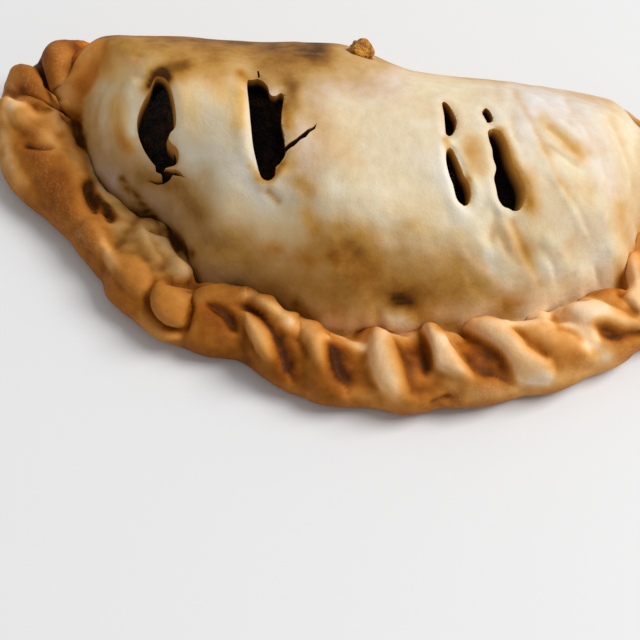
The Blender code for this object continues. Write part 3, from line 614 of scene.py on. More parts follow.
# Change in baking of the dome and of the rope, width or widths in pixels, and places. Some strokes
# paint shade instead, as marked.
BAKED_STROKES = (
    # the first stroke on this line, over the front flank, is partly browning and partly painted shade
    (0.14, 60, 50, ((230, 262), (300, 268), (400, 268))), (-0.08, 50, ((500, 255), (600, 240))),
    (-0.12, 26, ((246, 172), (262, 205))), (-0.08, 18, ((320, 208), (350, 210))),
    (-0.1, 14, ((444, 170), (466, 222), (500, 262), (540, 270))),
    (-0.16, 26, ((196, 90), (226, 140), (232, 170))), (0.06, 30, ((260, 225), (300, 240), (440, 250))),
    (-0.14, 40, ((520, 280), (590, 270))), (0.24, 9, ((298, 182), (308, 190))),
    (0.22, 8, ((307, 214), (313, 228))), (0.12, 5, ((272, 246), (276, 249))),
    (0.1, 6, ((306, 258), (311, 262))), (0.12, 6, ((332, 256), (336, 262))),
    (0.12, 10, ((455, 255), (456, 266))), (0.12, 10, ((196, 160), (208, 172))),
    (0.24, 10, ((476, 144), (482, 168))), (0.26, 7, RIGHT_BLISTER),
    (0.14, 10, 6, ((546, 148), (600, 152))), (0.14, 10, 8, ((562, 184), (592, 188))),
    (0.16, 6, ((621, 206), (624, 240))), (0.3, 6, ((616, 262), (620, 300))),
    (0.16, 9, ((452, 112), (462, 132), (470, 150))), (0.2, 13, 10, ((82, 48), (86, 66), (82, 84))),
    (0.16, 8, ((102, 52), (108, 66))), (0.62, 6, 7, ((149, 86), (153, 74), (160, 72), (168, 79))),
    (0.3, 8, ((164, 70), (184, 66))), (0.3, 5, ((240, 73), (245, 78))),
    (0.24, 5, 7, ((242, 94), (240, 124))), (0.3, 6, 5, ((284, 106), (287, 126))),
    (0.34, 4, ((250, 166), (256, 172))), (0.42, 5, ((258, 178), (270, 180), (282, 164))),
    (0.14, 8, ((258, 184), (266, 190))), (0.4, 4, 5, ((468, 180), (468, 199))),
    (0.36, 4, ((446, 140), (450, 152))), (0.42, 5, 6, ((500, 132), (509, 150), (517, 172))),
    # the second stroke on this line is painted shade in the valley between the dome and the rope
    (0.24, 6, 8, ((520, 182), (530, 204))), (0.09, 10, 7, ((398, 304), (406, 305))),
    (0.12, 4, RIGHT_WRINKLE),
    (0.14, 3, ((515, 92), (525, 110), (536, 130), (546, 152), (558, 178), (572, 200))),
    # painted shade in the grooves on the left of the top: the strokes on this line
    (0.3, 3, LEFT_GROOVE), (0.26, 4, LOWER_GROOVE), (0.2, 3, ((268, 192), (273, 196), (278, 202))),
    # painted shade along the back edge, where the top turns away from the light
    (0.55, 27, 23, ((110, 40), (190, 42), (260, 44), (310, 46))),
    (0.32, 18, ((124, 238), (144, 254), (160, 270))), (-0.14, 12, ((192, 124), (196, 140))),
    (-0.16, 6, ((131, 114), (132, 130))), (0.24, 6, ((144, 92), (150, 84), (158, 80))),
    (-0.08, 16, ((188, 92), (192, 140))), (-0.12, 12, ((228, 112), (232, 146))),
    # the first stroke on this line is painted shade beside the left lobes
    (0.24, 8, BEHIND_LEFT_LOBES), (0.1, 12, ((300, 92), (308, 116))),
    (0.2, 26, ((328, 246), (356, 252), (352, 280))), (-0.07, 13, 12, ((408, 240), (470, 244))),
    # the first stroke on this line is painted shade in the crease behind the rope's arch
    (0.32, 7, 6, ((296, 305), (312, 321))), (-0.24, 7, ((488, 257), (494, 268), (508, 284))),
    (0.14, 12, ((208, 238), (230, 240))), (-0.2, 12, ((188, 150), (191, 168))),
    (-0.14, 9, ((328, 176), (336, 188))), (0.14, 8, ((248, 82), (282, 84))),
    (-0.22, 9, ((608, 272), (612, 290))), (-0.14, 20, 16, ((280, 262), (318, 268))),
    (-0.12, 10, ((545, 262), (558, 276))), (0.12, 8, ((526, 262), (534, 282))),
    (-0.2, 9, ((524, 318), (556, 312))), (0.2, 6, ((506, 309), (519, 303))),
    (-0.14, 15, ((184, 100), (198, 150))), (-0.12, 12, ((226, 110), (234, 150))),
    (-0.14, 10, ((372, 74), (392, 80))), (-0.1, 12, ((536, 94), (560, 98))),
    (0.12, 10, ((528, 184), (534, 200))), (-0.24, 8, ((384, 315), (400, 317))),
    # painted shade on the back of the top: the strokes on this line and the next
    (0.3, 20, ((330, 50), (376, 66))), (0.24, 14, ((176, 68), (214, 66))),
    (0.34, 14, ((262, 72), (290, 76))), (0.16, 14, ((310, 78), (390, 86))),
    (0.3, 9, 12, ((293, 88), (291, 140), (290, 166))),
    (0.14, 16, 20, ((314, 96), (318, 150), (312, 180))), (-0.14, 14, ((236, 88), (243, 150))),
    (-0.42, 19, PALE_PATCH), (-0.26, 16, ((388, 204), (436, 212), (426, 232))),
    (-0.2, 9, ((448, 146), (452, 158))), (0.28, 13, 12, ((526, 176), (530, 206))),
    (0.16, 12, ((552, 190), (560, 208))), (0.2, 12, ((506, 226), (514, 252))),
    (-0.34, 17, 15, ((528, 302), (560, 296), (590, 284), (608, 256))),
    # the first stroke on this line, at the front flank's foot, is partly browning and partly painted
    # shade
    (0.2, 20, 18, ((400, 298), (450, 288), (500, 284))), (-0.26, 12, ((604, 276), (610, 292))),
    (0.18, 9, ((523, 246), (530, 262))), (-0.16, 11, ((386, 212), (389, 262))),
    (0.14, 15, ((328, 130), (350, 162))), (0.2, 12, ((184, 80), (226, 80))),
    (0.24, 7, ((466, 152), (470, 170))), (-0.16, 12, ((110, 58), (124, 78), (128, 108))),
    (0.16, 8, ((290, 96), (296, 104))), (-0.2, 12, ((630, 110), (636, 190), (632, 240))),
    (-0.22, 15, ((96, 88), (110, 104), (108, 118))), (-0.22, 12, ((100, 172), (106, 184))),
    (0.26, 13, 11, ((142, 176), (178, 184), (200, 216))), (-0.14, 8, ((326, 322), (350, 326))),
    (-0.34, 8, ((440, 314), (478, 316))), (-0.14, 8, ((262, 236), (276, 242))),
    # the second stroke on this line is painted shade at the back edge
    (0.12, 10, ((528, 214), (552, 224))), (0.14, 12, ((276, 58), (324, 60))),
    (-0.08, 16, ((240, 176), (260, 212))), (-0.07, 50, ((420, 160), (540, 160))),
    (0.1, 9, ((340, 226), (358, 232))), (-0.12, 9, ((592, 278), (604, 284))),
    (-0.24, 7, ((130, 118), (131, 132))), (0.16, 5, ((119, 108), (118, 130), (126, 146))),
)
# Change in baking of the rope, read like the dome's; its paler strokes on the crests and darker ones in
# the dents paint highlight and shade in part.
ROPE_BAKED_STROKES = (
    (0.1, 12, ((86, 58), (88, 78))), (-0.3, 9, ((4, 136), (8, 160), (20, 182))),
    (-0.06, 12, ((62, 124), (72, 142), (72, 158))), (-0.12, 9, ((48, 138), (50, 162))),
    (0.18, 6, ((604, 338), (618, 342))), (0.12, 8, ((630, 300), (632, 322))),
    (-0.45, 8, 7, ((12, 104), (28, 100), (46, 112), (60, 124))), (-0.25, 8, ((8, 96), (4, 112))),
    (-0.22, 9, ((146, 234), (156, 256), (180, 272))), (0.1, 20, ((40, 165), (62, 205))),
    # painted shade in the three dark holes under the dome's left edge: the strokes on this line and the
    # first on the next
    (0.5, 6, 5, ((89, 186), (90, 196), (92, 203))), (0.3, 4, ((99, 197), (105, 206))),
    (0.5, 5, ((108, 207), (111, 216))), (-0.24, 15, ((548, 330), (578, 336), (606, 350))),
    (-0.06, 8, ((520, 392), (560, 384), (604, 372))), (-0.3, 8, ((596, 344), (604, 356))),
    (0.16, 8, ((56, 54), (64, 66))), (0.16, 6, ((42, 106), (50, 116))),
    (0.22, 4, ((546, 312), (554, 318))), (0.2, 7, ((68, 118), (80, 126), (84, 140))),
    (-0.2, 9, ((74, 160), (80, 172))), (-0.4, 10, ((386, 322), (408, 332))),
    (-0.24, 10, 14, ((520, 388), (560, 378), (610, 364))),
    (0.14, 12, ((190, 347), (280, 376), (350, 398), (400, 404))),
    (-0.16, 8, ((144, 322), (160, 336), (180, 338))), (0.12, 7, ((200, 293), (232, 293))),
    (-0.34, 6, ((248, 294), (276, 308), (290, 320))), (-0.3, 7, ((330, 337), (345, 337), (364, 343))),
    (-0.28, 8, ((376, 332), (392, 332), (414, 330))), (-0.3, 6, ((420, 320), (445, 318), (500, 320))),
    (-0.5, 10, ((510, 318), (545, 306), (600, 303), (640, 308))),
    # painted shade in the finger dents: the second stroke on this line and both on the next
    (-0.36, 10, ((600, 250), (628, 270), (640, 290))), (0.14, 10, 4, LEFT_POCKET),
    (0.2, 12, 5, ((331, 344), (335, 360), (342, 380))), (0.1, 10, 3, RIGHT_POCKET),
    (-0.34, 9, ((362, 348), (367, 368), (378, 388))), (-0.28, 12, ((352, 396), (392, 402))),
    (-0.2, 9, ((422, 378), (446, 384))), (-0.34, 9, ((506, 346), (522, 374))),
    (0.08, 9, ((484, 382), (500, 380))), (-0.2, 6, 8, ((372, 350), (380, 372), (394, 392))),
    (-0.42, 20, ((636, 200), (632, 250), (630, 284))), (0.34, 5, ((617, 258), (620, 300))),
    (0.22, 7, ((612, 308), (632, 313))), (0.42, 8, 6, ((22, 92), (36, 104))),
    (-0.2, 9, ((46, 136), (56, 146))), (-0.22, 8, ((164, 234), (178, 250), (190, 262))),
    (-0.3, 9, ((386, 316), (396, 322))), (-0.36, 7, ((552, 314), (574, 324), (590, 338))),
    (0.2, 11, ((562, 346), (580, 354))), (-0.1, 8, ((510, 350), (526, 374))),
    (-0.2, 8, ((82, 46), (76, 58))), (-0.12, 9, 8, ((66, 58), (88, 56), (92, 80))),
    (-0.26, 14, ((648, 300), (678, 274), (694, 236), (690, 190), (672, 150))),
    (0.18, 8, ((46, 56), (52, 82))), (-0.22, 8, ((6, 118), (32, 116))),
    (0.14, 8, ((48, 114), (56, 122))), (-0.34, 8, ((516, 322), (534, 318), (546, 312))),
    (-0.36, 8, ((566, 312), (582, 322), (594, 334), (588, 346))),
    (-0.28, 8, 7, ((436, 340), (452, 336), (462, 346))), (-0.24, 8, ((528, 336), (540, 348))),
    (-0.16, 8, ((442, 372), (454, 386))), (-0.16, 6, ((418, 342), (421, 352))),
    (-0.2, 6, ((494, 366), (497, 376))), (-0.18, 6, ((367, 338), (374, 348))),
    (-0.1, 7, ((376, 354), (384, 378))), (0.14, 6, ((271, 350), (277, 364))),
    (0.14, 5, ((324, 345), (328, 358))), (-0.1, 7, ((268, 302), (290, 318))),
    (-0.18, 8, ((556, 320), (566, 322), (580, 314))), (-0.16, 6, ((472, 328), (488, 336))),
    (-0.12, 8, ((516, 362), (534, 378))), (0.16, 7, ((600, 328), (614, 332))),
    (-0.22, 9, ((624, 326), (638, 332))), (-0.16, 10, 8, ((474, 395), (500, 392))),
    (-0.12, 10, ((526, 380), (536, 380))), (0.08, 9, ((478, 350), (492, 362))),
    (0.13, 9, ((208, 312), (222, 326))), (0.07, 9, ((88, 234), (94, 246))),
    (-0.34, 15, ((94, 48), (84, 70), (74, 92))), (-0.08, 10, ((290, 384), (310, 388))),
    (-0.1, 12, 9, ((376, 404), (410, 404))), (-0.1, 9, ((630, 286), (634, 298))),
    (-0.24, 7, ((455, 327), (478, 333), (496, 344))), (-0.26, 7, ((428, 332), (434, 352), (438, 372))),
    (-0.26, 8, ((524, 374), (548, 380))), (-0.16, 8, ((246, 318), (256, 338))),
    (0.12, 9, ((328, 362), (334, 376))), (-0.2, 10, ((6, 72), (10, 84))),
    (-0.36, 8, ((103, 246), (112, 262))), (0.1, 14, ((130, 232), (150, 245))),
    (-0.2, 8, ((62, 92), (76, 106))),
)
# Where flour and bubbles speckle the baked dough: strength, width or widths, and places.
FLOURED_STROKES = (
    (0.45, 20, 16, ((40, 160), (58, 200), (70, 226))), (0.4, 14, ((20, 112), (48, 134))),
    (0.6, 12, ((56, 52), (64, 84))), (0.6, 12, ((26, 76), (34, 90))),
    (0.6, 14, 12, ((450, 398), (520, 388), (600, 368), (636, 352))), (0.5, 16, ((88, 232), (120, 268))),
    (0.5, 16, ((576, 340), (600, 352))),
)
# Colouring, -1 cool and greyish to 1 orange: change, width or widths, and places. Some strokes paint
# the colour of shade, as marked.
TINT_STROKES = (
    # the first stroke on this line is painted shade, greyish on the lower left of the top
    (-0.8, 30, 26, ((112, 176), (140, 198), (176, 222))), (-0.5, 20, 16, ((240, 160), (262, 200))),
    (-0.2, 12, 9, ((444, 180), (466, 222), (496, 258))),
    (-0.6, 44, ((540, 100), (600, 130), (610, 190))),
    (0.3, 60, 40, ((210, 250), (300, 262), (420, 262))),
    # painted shade: cooler along the back edge, and behind the left lobes
    (-0.2, 26, 16, ((140, 46), (230, 48), (330, 56))), (-0.8, 9, 8, BEHIND_LEFT_LOBES),
    (0.4, 16, ((516, 298), (560, 292), (604, 284))), (0.3, 16, ((186, 84), (190, 108))),
    # warmer in the finger dents, as the painted shade there: the second stroke on this line and those
    # on the next two
    (-0.2, 50, ((420, 160), (540, 160))), (0.4, 8, ((208, 304), (228, 320))),
    (0.4, 8, ((278, 346), (288, 372))), (0.4, 9, ((334, 348), (343, 376))),
    (0.4, 8, ((406, 358), (420, 350), (424, 380))), (0.4, 9, ((474, 356), (498, 374))),
    (0.4, 9, ((370, 342), (380, 372), (388, 392))), (0.3, 8, ((434, 340), (448, 362))),
    (-0.4, 8, ((266, 302), (292, 320))), (0.8, 9, ((119, 108), (121, 130), (130, 150))),
    (-0.8, 12, ((208, 238), (230, 240))),
    # painted shade, greyish along the grooves on the left of the top
    (-0.5, 7, ((121, 178), (137, 196), (153, 215), (172, 236), (190, 254))),
    (0.6, 16, ((118, 66), (132, 62))), (0.5, 16, ((184, 92), (196, 130))),
    (0.5, 12, ((414, 228), (430, 234))), (0.6, 14, ((572, 196), (590, 204))),
    (0.5, 10, ((528, 184), (534, 204))), (-0.6, 9, ((580, 308), (606, 310))),
    (-0.4, 9, ((382, 348), (392, 376))), (-0.4, 9, ((440, 340), (452, 366))),
    # the second stroke on this line is painted shade, cooler along the back of the top
    (-0.6, 9, ((474, 395), (500, 392))), (-0.6, 20, 18, ((262, 76), (300, 84), (390, 84))),
    (-0.6, 18, 26, ((300, 96), (302, 150), (300, 175))), (0.5, 16, ((228, 96), (240, 150))),
    (0.45, 22, PALE_PATCH), (0.5, 16, ((104, 60), (120, 84), (116, 112))),
    (0.5, 10, ((98, 172), (104, 184))), (-0.5, 14, ((146, 174), (186, 190), (208, 226))),
    (-0.8, 14, 12, ((200, 272), (250, 278))), (0.4, 16, ((470, 236), (530, 236))),
    (0.6, 12, ((326, 320), (350, 322), (430, 314), (470, 316))),
    (-0.9, 14, 12, ((120, 232), (150, 246), (176, 272))), (-0.8, 10, ((190, 292), (232, 292))),
    (-0.8, 10, ((52, 112), (72, 130), (72, 156))), (-0.6, 7, 9, ((600, 362), (560, 377), (480, 396))),
    (0.3, 9, ((512, 350), (528, 374))), (0.9, 16, 12, ((82, 46), (86, 66), (82, 84))),
    (0.6, 9, ((102, 50), (108, 68))), (-0.9, 8, ((4, 130), (10, 168))),
    (0.4, 22, 18, ((396, 209), (434, 206))), (0.45, 14, ((476, 144), (482, 168))),
    (0.6, 9, RIGHT_BLISTER), (0.4, 16, 12, ((548, 150), (590, 188))),
    (0.5, 16, ((612, 118), (628, 160), (636, 210))), (0.6, 9, ((298, 182), (308, 190))),
    (0.6, 9, ((307, 214), (313, 228))), (0.6, 7, ((272, 246), (275, 249))),
    (0.6, 9, ((306, 258), (312, 262))), (0.6, 7, ((332, 256), (336, 262))),
    (0.5, 12, ((212, 84), (220, 96))), (0.8, 6, 8, ((242, 74), (240, 124))),
    (0.8, 6, 5, ((284, 106), (287, 126))), (0.8, 6, ((250, 166), (258, 178), (270, 180), (284, 164))),
    (0.6, 6, ((119, 100), (118, 130), (128, 150))), (0.8, 7, ((500, 132), (509, 150), (518, 176))),
    (0.8, 5, ((446, 140), (450, 152))), (0.8, 5, 6, ((468, 180), (468, 199))),
    (0.5, 12, ((616, 206), (622, 250), (618, 300))), (-0.5, 12, ((400, 325), (392, 312))),
)


def strokes_at(pixels, strokes):
    """The sum of a list of strokes at pixel places."""
    total = np.zeros(len(pixels))
    for level, *widths, points in strokes:
        total += level * stroke(pixels, points, widths[0], widths[-1])
    return total


def areas_at(pixels, areas):
    """The summed height and baking, with its painted highlight and shade, of a list of areas at pixel
    places.
    """
    total = np.zeros((2, len(pixels)))
    for height, baked, inner, outer, fading, outline in areas:
        share = area(pixels, outline, inner, outer, height > 0)
        if fading:
            lowest = max(y for x, y in outline) + outer
            share *= smooth_step(lowest, lowest - fading, pixels[:, 1])
        total += np.stack([height * share, baked * share])
    return total


def hole_outlines():
    """Pixel outlines of the slits, smoothed, and of the cracks, each inside and at the skin."""
    holes = []
    for outline, lean in zip(SLIT_OUTLINES, SLIT_LEANS):
        lower = closed_curve(outline, SLIT_CORNERS)[0][::-1]
        along = np.roll(lower, -1, axis=0) - np.roll(lower, 1, axis=0)
        outward = np.stack([-along[:, 1], along[:, 0]], axis=1)
        outward /= np.linalg.norm(outward, axis=1, keepdims=True)
        holes.append((lower, lower + outward * np.maximum(outward @ lean, 0)[:, None]))
    cracks = [np.array(outline, dtype=float)[::-1] for outline in CRACK_OUTLINES]
    return holes, [(crack, crack) for crack in cracks]


def slit_gap(pixels, holes):
    """Distance in pixels to the nearest slit, negative inside one."""
    return np.min([outline_gap(pixels, upper) for _, upper in holes], axis=0)


def unevenness(points, size, seed):
    """Soft noise between -1 and 1 with lumps of a given size."""
    shift = Vector([seed * step for step in NOISE_STEPS])
    return np.array([noise.noise(Vector(point) / size + shift) for point in points])


# ======== the dough's skin ========
FRONT_CROWDING = 1.2                    # how much closer together columns lie along the front
FRONT_START = (-15 * MM, 15 * MM)       # distances along the edge where the crowding sets in
FRONT_END = (325 * MM, 295 * MM)        # and where it ends
CROWDING_STEPS = 2000
FOLD_SHARE_SEEN = 0.45                  # share of the plain folds kept where strokes shape them
SEEN_START = (4 * MM, 20 * MM)          # distances along the edge where strokes take over
SEEN_END = (270 * MM, 255 * MM)         # and where they end
ROPE_JOIN = (-2.5, 1.5)                 # rings over which the dome turns into the rope
FOOT_FREE = 1.5                         # mm above the table over which the relief sets in
LIFT_FACING = (-0.1, 0.25)              # how squarely the skin faces the camera where it sets in
# Unevenness of the skin: rise in mm on the dome, how much more on the rope, size in mm and seed.
SKIN_LUMPS = ((0.40, 0.0, 12, 1), (0.24, 0.0, 5, 2), (0.10, 0.12, 2.2, 3))
WRINKLE_RISE = 0.42 * MM
WRINKLE_SIZE = 3.4 * MM
WRINKLE_SEED = 8
# How many points of the grid a narrow and a broad crease reach, and the depth of a full crease, for the
# painted shade in creases and the painted highlight on ridges.
CREASES = ((2, 0.25 * MM), (7, 0.9 * MM))
SHARP_ANGLE = math.radians(70)


def crowded_places(total, count):
    """Places round the outline that lie closer together along the pinched front."""
    along = np.linspace(0.0, total, CROWDING_STEPS)
    front = smooth_step(*FRONT_START, along) * smooth_step(*FRONT_END, along)
    crowd = 1 + FRONT_CROWDING * front
    gathered = np.concatenate([[0.0], np.cumsum((crowd[1:] + crowd[:-1]) / 2)])
    return np.interp(np.arange(count) / count * gathered[-1], gathered, along)


def columns_at(edge, along):
    """The columns at other places round the outline."""
    def read(values):
        if values.ndim == 2:
            return np.stack([read(values[:, axis]) for axis in (0, 1)], axis=1)
        return np.interp(along, edge.along, values, period=edge.total)
    column = SimpleNamespace(**{
        name: read(values) for name, values in vars(edge).items()
        if isinstance(values, np.ndarray)})
    column.places = np.where(along > edge.total - FOLD_STRETCH, along - edge.total, along)
    return column


def closed_skin(name, rings, top, bottom):
    """A closed mesh: a grid whose columns go round, whose first and last column are joined, and
    whose upper and lower rows close to a point."""
    count = len(rings[0])
    rows = len(rings) + 1
    skin = bmesh.new()
    bmesh.ops.create_grid(skin, x_segments=count, y_segments=rows, size=1.0)
    for vertex in skin.verts:
        row = round((1 - vertex.co.y) / 2 * rows)
        place = round((1 + vertex.co.x) / 2 * count) % count
        if row == 0:
            vertex.co = top
        elif row == rows:
            vertex.co = bottom
        else:
            vertex.co = rings[row - 1][place]
    bmesh.ops.remove_doubles(skin, verts=skin.verts, dist=SEAM_GAP)
    return add_piece(name, skin)


def add_piece(name, solid):
    """Put a finished mesh into the scene under a name."""
    mesh = bpy.data.meshes.new(name)
    solid.to_mesh(mesh)
    solid.free()
    mesh.shade_smooth()
    piece = bpy.data.objects.new(name, mesh)
    bpy.context.collection.objects.link(piece)
    return piece


def grid_normals(grid):
    """Outward directions of a grid of rings and columns."""
    along = np.roll(grid, -1, axis=1) - np.roll(grid, 1, axis=1)
    down = np.gradient(grid, axis=0)
    square = np.cross(down, along)
    return square / np.maximum(np.linalg.norm(square, axis=2, keepdims=True), TINY)


def sunkenness(grid, outward, reach):
    """How deep each point of a grid lies below its surroundings, in metres."""
    smooth = sum(np.roll(grid, step, axis=1) for step in range(-reach, reach + 1))
    padded = np.pad(smooth, ((reach, reach), (0, 0), (0, 0)), mode="edge")
    smooth = sum(padded[step:step + len(grid)] for step in range(2 * reach + 1))
    return ((smooth / (2 * reach + 1) ** 2 - grid) * outward).sum(axis=2)


def evened(grid):
    """A grid whose points have each moved halfway to the mean of their neighbours."""
    grid = (np.roll(grid, 1, axis=1) + 2 * grid + np.roll(grid, -1, axis=1)) / 4
    inner = (grid[:-2] + 2 * grid[1:-1] + grid[2:]) / 4
    return np.concatenate([grid[:1], inner, grid[-1:]])


def plain_grid(edge):
    """Rings of the dough's outside with the plain folds only, and each point's share of the rope."""
    column = columns_at(edge, crowded_places(edge.total, COLUMNS))
    seen = smooth_step(*SEEN_START, column.places) * smooth_step(*SEEN_END, column.places)
    relief = 1 - (1 - FOLD_SHARE_SEEN) * seen
    dome = [dome_ring(column, edge, share, relief)
            for share in np.linspace(FIRST_SHARE, 0.0, DOME_RINGS)]
    rope = [rope_ring(column, edge, share, relief)
            for share in np.linspace(FIRST_SHARE, 0.0, ROPE_RINGS)]
    foot = [rope_ring(column, edge, share, relief)
            for share in np.linspace(0.0, -1.0, FOOT_RINGS + 1)[1:]]
    grid = np.array(dome + rope + foot)
    ring = np.arange(len(grid)) - DOME_RINGS
    return grid, smooth_step(*ROPE_JOIN, ring)[:, None] * column.rope[None, :]


def drawn_relief(points, outward, rope_share, lifted, holes):
    """How far strokes, areas and the slits' lips move the skin outwards."""
    pixels, view = in_picture(points)
    facing = smooth_step(*LIFT_FACING, (outward * view).sum(axis=1)) * lifted
    lift = MM * rope_share * (strokes_at(pixels, ROPE_STROKES) + areas_at(pixels, ROPE_AREAS)[0])
    lift += MM * (1 - rope_share) * (strokes_at(pixels, DOME_STROKES)
                                     + areas_at(pixels, DOME_AREAS)[0])
    gap = np.maximum(slit_gap(pixels, holes), 0)
    lift += (1 - rope_share) * (LIP_RISE * np.exp(-(gap / LIP_WIDE) ** 2)
                                - LIP_FALL * np.exp(-(gap / LIP_NARROW) ** 2))
    return lift * facing


def roughness(points, rope_share):
    """How far lumps and wrinkles move the skin outwards."""
    rough = sum((rise + more * rope_share) * MM * unevenness(points, size * MM, seed)
                for rise, more, size, seed in SKIN_LUMPS)
    wrinkled = strokes_at(in_picture(points)[0], WRINKLED_STROKES)
    return rough + WRINKLE_RISE * wrinkled * unevenness(points, WRINKLE_SIZE, WRINKLE_SEED)


def crust_grid(edge, holes):
    """Rings of the dough's outside with all that shows on it, how much each point belongs to the
    rope, and how much painted shade it gets in a crease and painted highlight on a ridge."""
    grid, on_rope = plain_grid(edge)
    points = grid.reshape(-1, 3)
    outward = grid_normals(grid).reshape(-1, 3)
    rope_share = on_rope.ravel()
    lifted = smooth_step(0.0, FOOT_FREE, points[:, 2] / MM)
    rise = (drawn_relief(points, outward, rope_share, lifted, holes)
            + roughness(points, rope_share) * lifted)
    points = points + outward * rise[:, None]
    points[:, 2] = np.maximum(points[:, 2], 0.0)
    grid = evened(points.reshape(grid.shape))
    outward = grid_normals(grid)
    crease_shading = sum(np.clip(sunkenness(grid, outward, reach) / depth, RIDGE_HIGHLIGHT, 1)
                  for reach, depth in CREASES)
    return grid, on_rope, crease_shading


def hollow_grid(edge, shares, count):
    """Rings of the hollow under the dome, and down its wall to the foot."""
    column = columns_at(edge, np.arange(count) / count * edge.total)
    rings = []
    for share in shares:
        spot = column.crease + (DOME_CENTRE - column.crease) * share
        rings.append(below_dome(edge, spot, DOUGH))
    foot = rings[-1][:, :2] + column.inward * WALL_LEAN
    foot = np.column_stack([foot, np.full(len(foot), DOUGH)])
    return rings + [(rings[-1] + foot) / 2, foot]


def spots_at(outline, tree):
    """The places on the dough that are seen at pixel places."""
    eye = camera_place.translation
    turned = camera_place.to_3x3()
    rays = [turned @ Vector(((x - PICTURE / 2) / FOCAL, (PICTURE / 2 - y) / FOCAL, -1.0))
            for x, y in outline]
    return np.array([tree.ray_cast(eye, ray.normalized())[0] for ray in rays])


def slit_cutter(name, lower, upper, tree):
    """A cutter for one slit: upright above the skin and inside, and slanting in between."""
    inner = spots_at(lower, tree)
    outer = spots_at(upper, tree)
    rings = [outer.copy(), outer + (0, 0, SKIN_CLEAR), inner - (0, 0, SLIT_WALL), inner.copy()]
    rings[0][:, 2] = 2 * HEIGHT
    rings[3][:, 2] = SLIT_FLOOR
    return closed_skin(name, rings, rings[0].mean(axis=0), rings[3].mean(axis=0))


def cut_away(piece, cutters):
    """Take cutters away from a piece for good."""
    for cutter in cutters:
        modifier = piece.modifiers.new(cutter.name, "BOOLEAN")
        modifier.operation = "DIFFERENCE"
        modifier.solver = "MANIFOLD"
        modifier.object = cutter
    graph = bpy.context.evaluated_depsgraph_get()
    cut = bpy.data.meshes.new_from_object(piece.evaluated_get(graph), depsgraph=graph)
    piece.modifiers.clear()
    piece.data = cut
    for cutter in cutters:
        bpy.data.objects.remove(cutter)


def vertex_places(piece):
    """The places of a piece's vertices."""
    places = np.zeros(len(piece.data.vertices) * 3, np.float32)
    piece.data.vertices.foreach_get("co", places)
    return places.reshape(-1, 3).astype(float)


def vertex_normals(piece):
    """The outward directions at a piece's vertices."""
    normals = np.zeros(len(piece.data.vertices) * 3, np.float32)
    piece.data.vertex_normals.foreach_get("vector", normals)
    return normals.reshape(-1, 3).astype(float)


def store(piece, name, values):
    """Keep one value for each vertex, for the material to read."""
    layer = piece.data.attributes.new(name, "FLOAT", "POINT")
    layer.data.foreach_set("value", np.ascontiguousarray(values, dtype=np.float32))


def nearest_points(piece, grid):
    """For each vertex of the cut piece, the number of the uncut skin's nearest point."""
    tree = KDTree(grid.shape[0] * grid.shape[1])
    for index, point in enumerate(grid.reshape(-1, 3)):
        tree.insert(point, index)
    tree.balance()
    return np.array([tree.find(place)[1] for place in vertex_places(piece)])


def recoloured(piece, on_rope):
    """How much each vertex has the rope's colours, with the places that look otherwise."""
    pixels, view = in_picture(vertex_places(piece))
    facing = smooth_step(*LIKE_FACING, (vertex_normals(piece) * view).sum(axis=1))
    like_rope = facing * area(pixels, ROPE_LIKE, LIKE_FADE, LIKE_FADE, False)
    like_dome = area(pixels, DOME_LIKE, LIKE_FADE, LIKE_FADE, False)
    leaf = LEAF_SHARE * area(pixels, LEAF_LIKE, LEAF_FADE, LEAF_FADE, False)
    return np.maximum(on_rope, like_rope) * (1 - np.maximum(like_dome, leaf))


def bake_amounts(piece, on_rope, crease_shading, crease_shade_share):
    """How brown, how warmly coloured and how floury each vertex is, with painted shade and highlight
    added to the brownness.
    """
    places = vertex_places(piece)
    pixels, view = in_picture(places)
    normals = vertex_normals(piece)
    facing = smooth_step(*BAKED_FACING, (normals * view).sum(axis=1))
    # browning and painted shade on the dome's low parts
    dome = DOME_BAKED + DOME_LOW_BROWN_AND_SHADE * smooth_step(*DOME_LOW_ENDS, places[:, 2])
    dome += facing * (strokes_at(pixels, BAKED_STROKES) + areas_at(pixels, DOME_AREAS)[1])
    rope = ROPE_BAKED + facing * (strokes_at(pixels, ROPE_BAKED_STROKES)
                                  + areas_at(pixels, ROPE_AREAS)[1])
    baked = dome * (1 - on_rope) + rope * on_rope
    # painted shade where the dough faces down
    baked += UNDER_SHADE * smooth_step(*UNDER_ENDS, normals[:, 2])
    # painted shade in the creases and painted highlight on the ridges
    baked += crease_shading * (DOME_CREASE_SHADE * (1 - on_rope) + ROPE_CREASE_SHADE * on_rope)
    # painted shade in the crease between the dome and the rope's left part
    behind_shade = BEHIND_SHADE * smooth_step(*BEHIND_ENDS, pixels[:, 0])
    baked += behind_shade * crease_shade_share
    tint = ROPE_TINT * on_rope + facing * strokes_at(pixels, TINT_STROKES)
    floured = facing * strokes_at(pixels, FLOURED_STROKES)
    return np.clip(baked, 0, 1), np.clip(tint, -1, 1), np.clip(floured, 0, 1)


def crack_shade_rate(piece, cracks):
    """How many times faster the painted shade deepens inwards: more at the thin cracks."""
    pixels = in_picture(vertex_places(piece))[0]
    gap = np.min([outline_gap(pixels, crack) for crack, _ in cracks], axis=0)
    return 1 + (CRACK_SHADE_RATE - 1) * smooth_step(*CRACK_ENDS, gap)


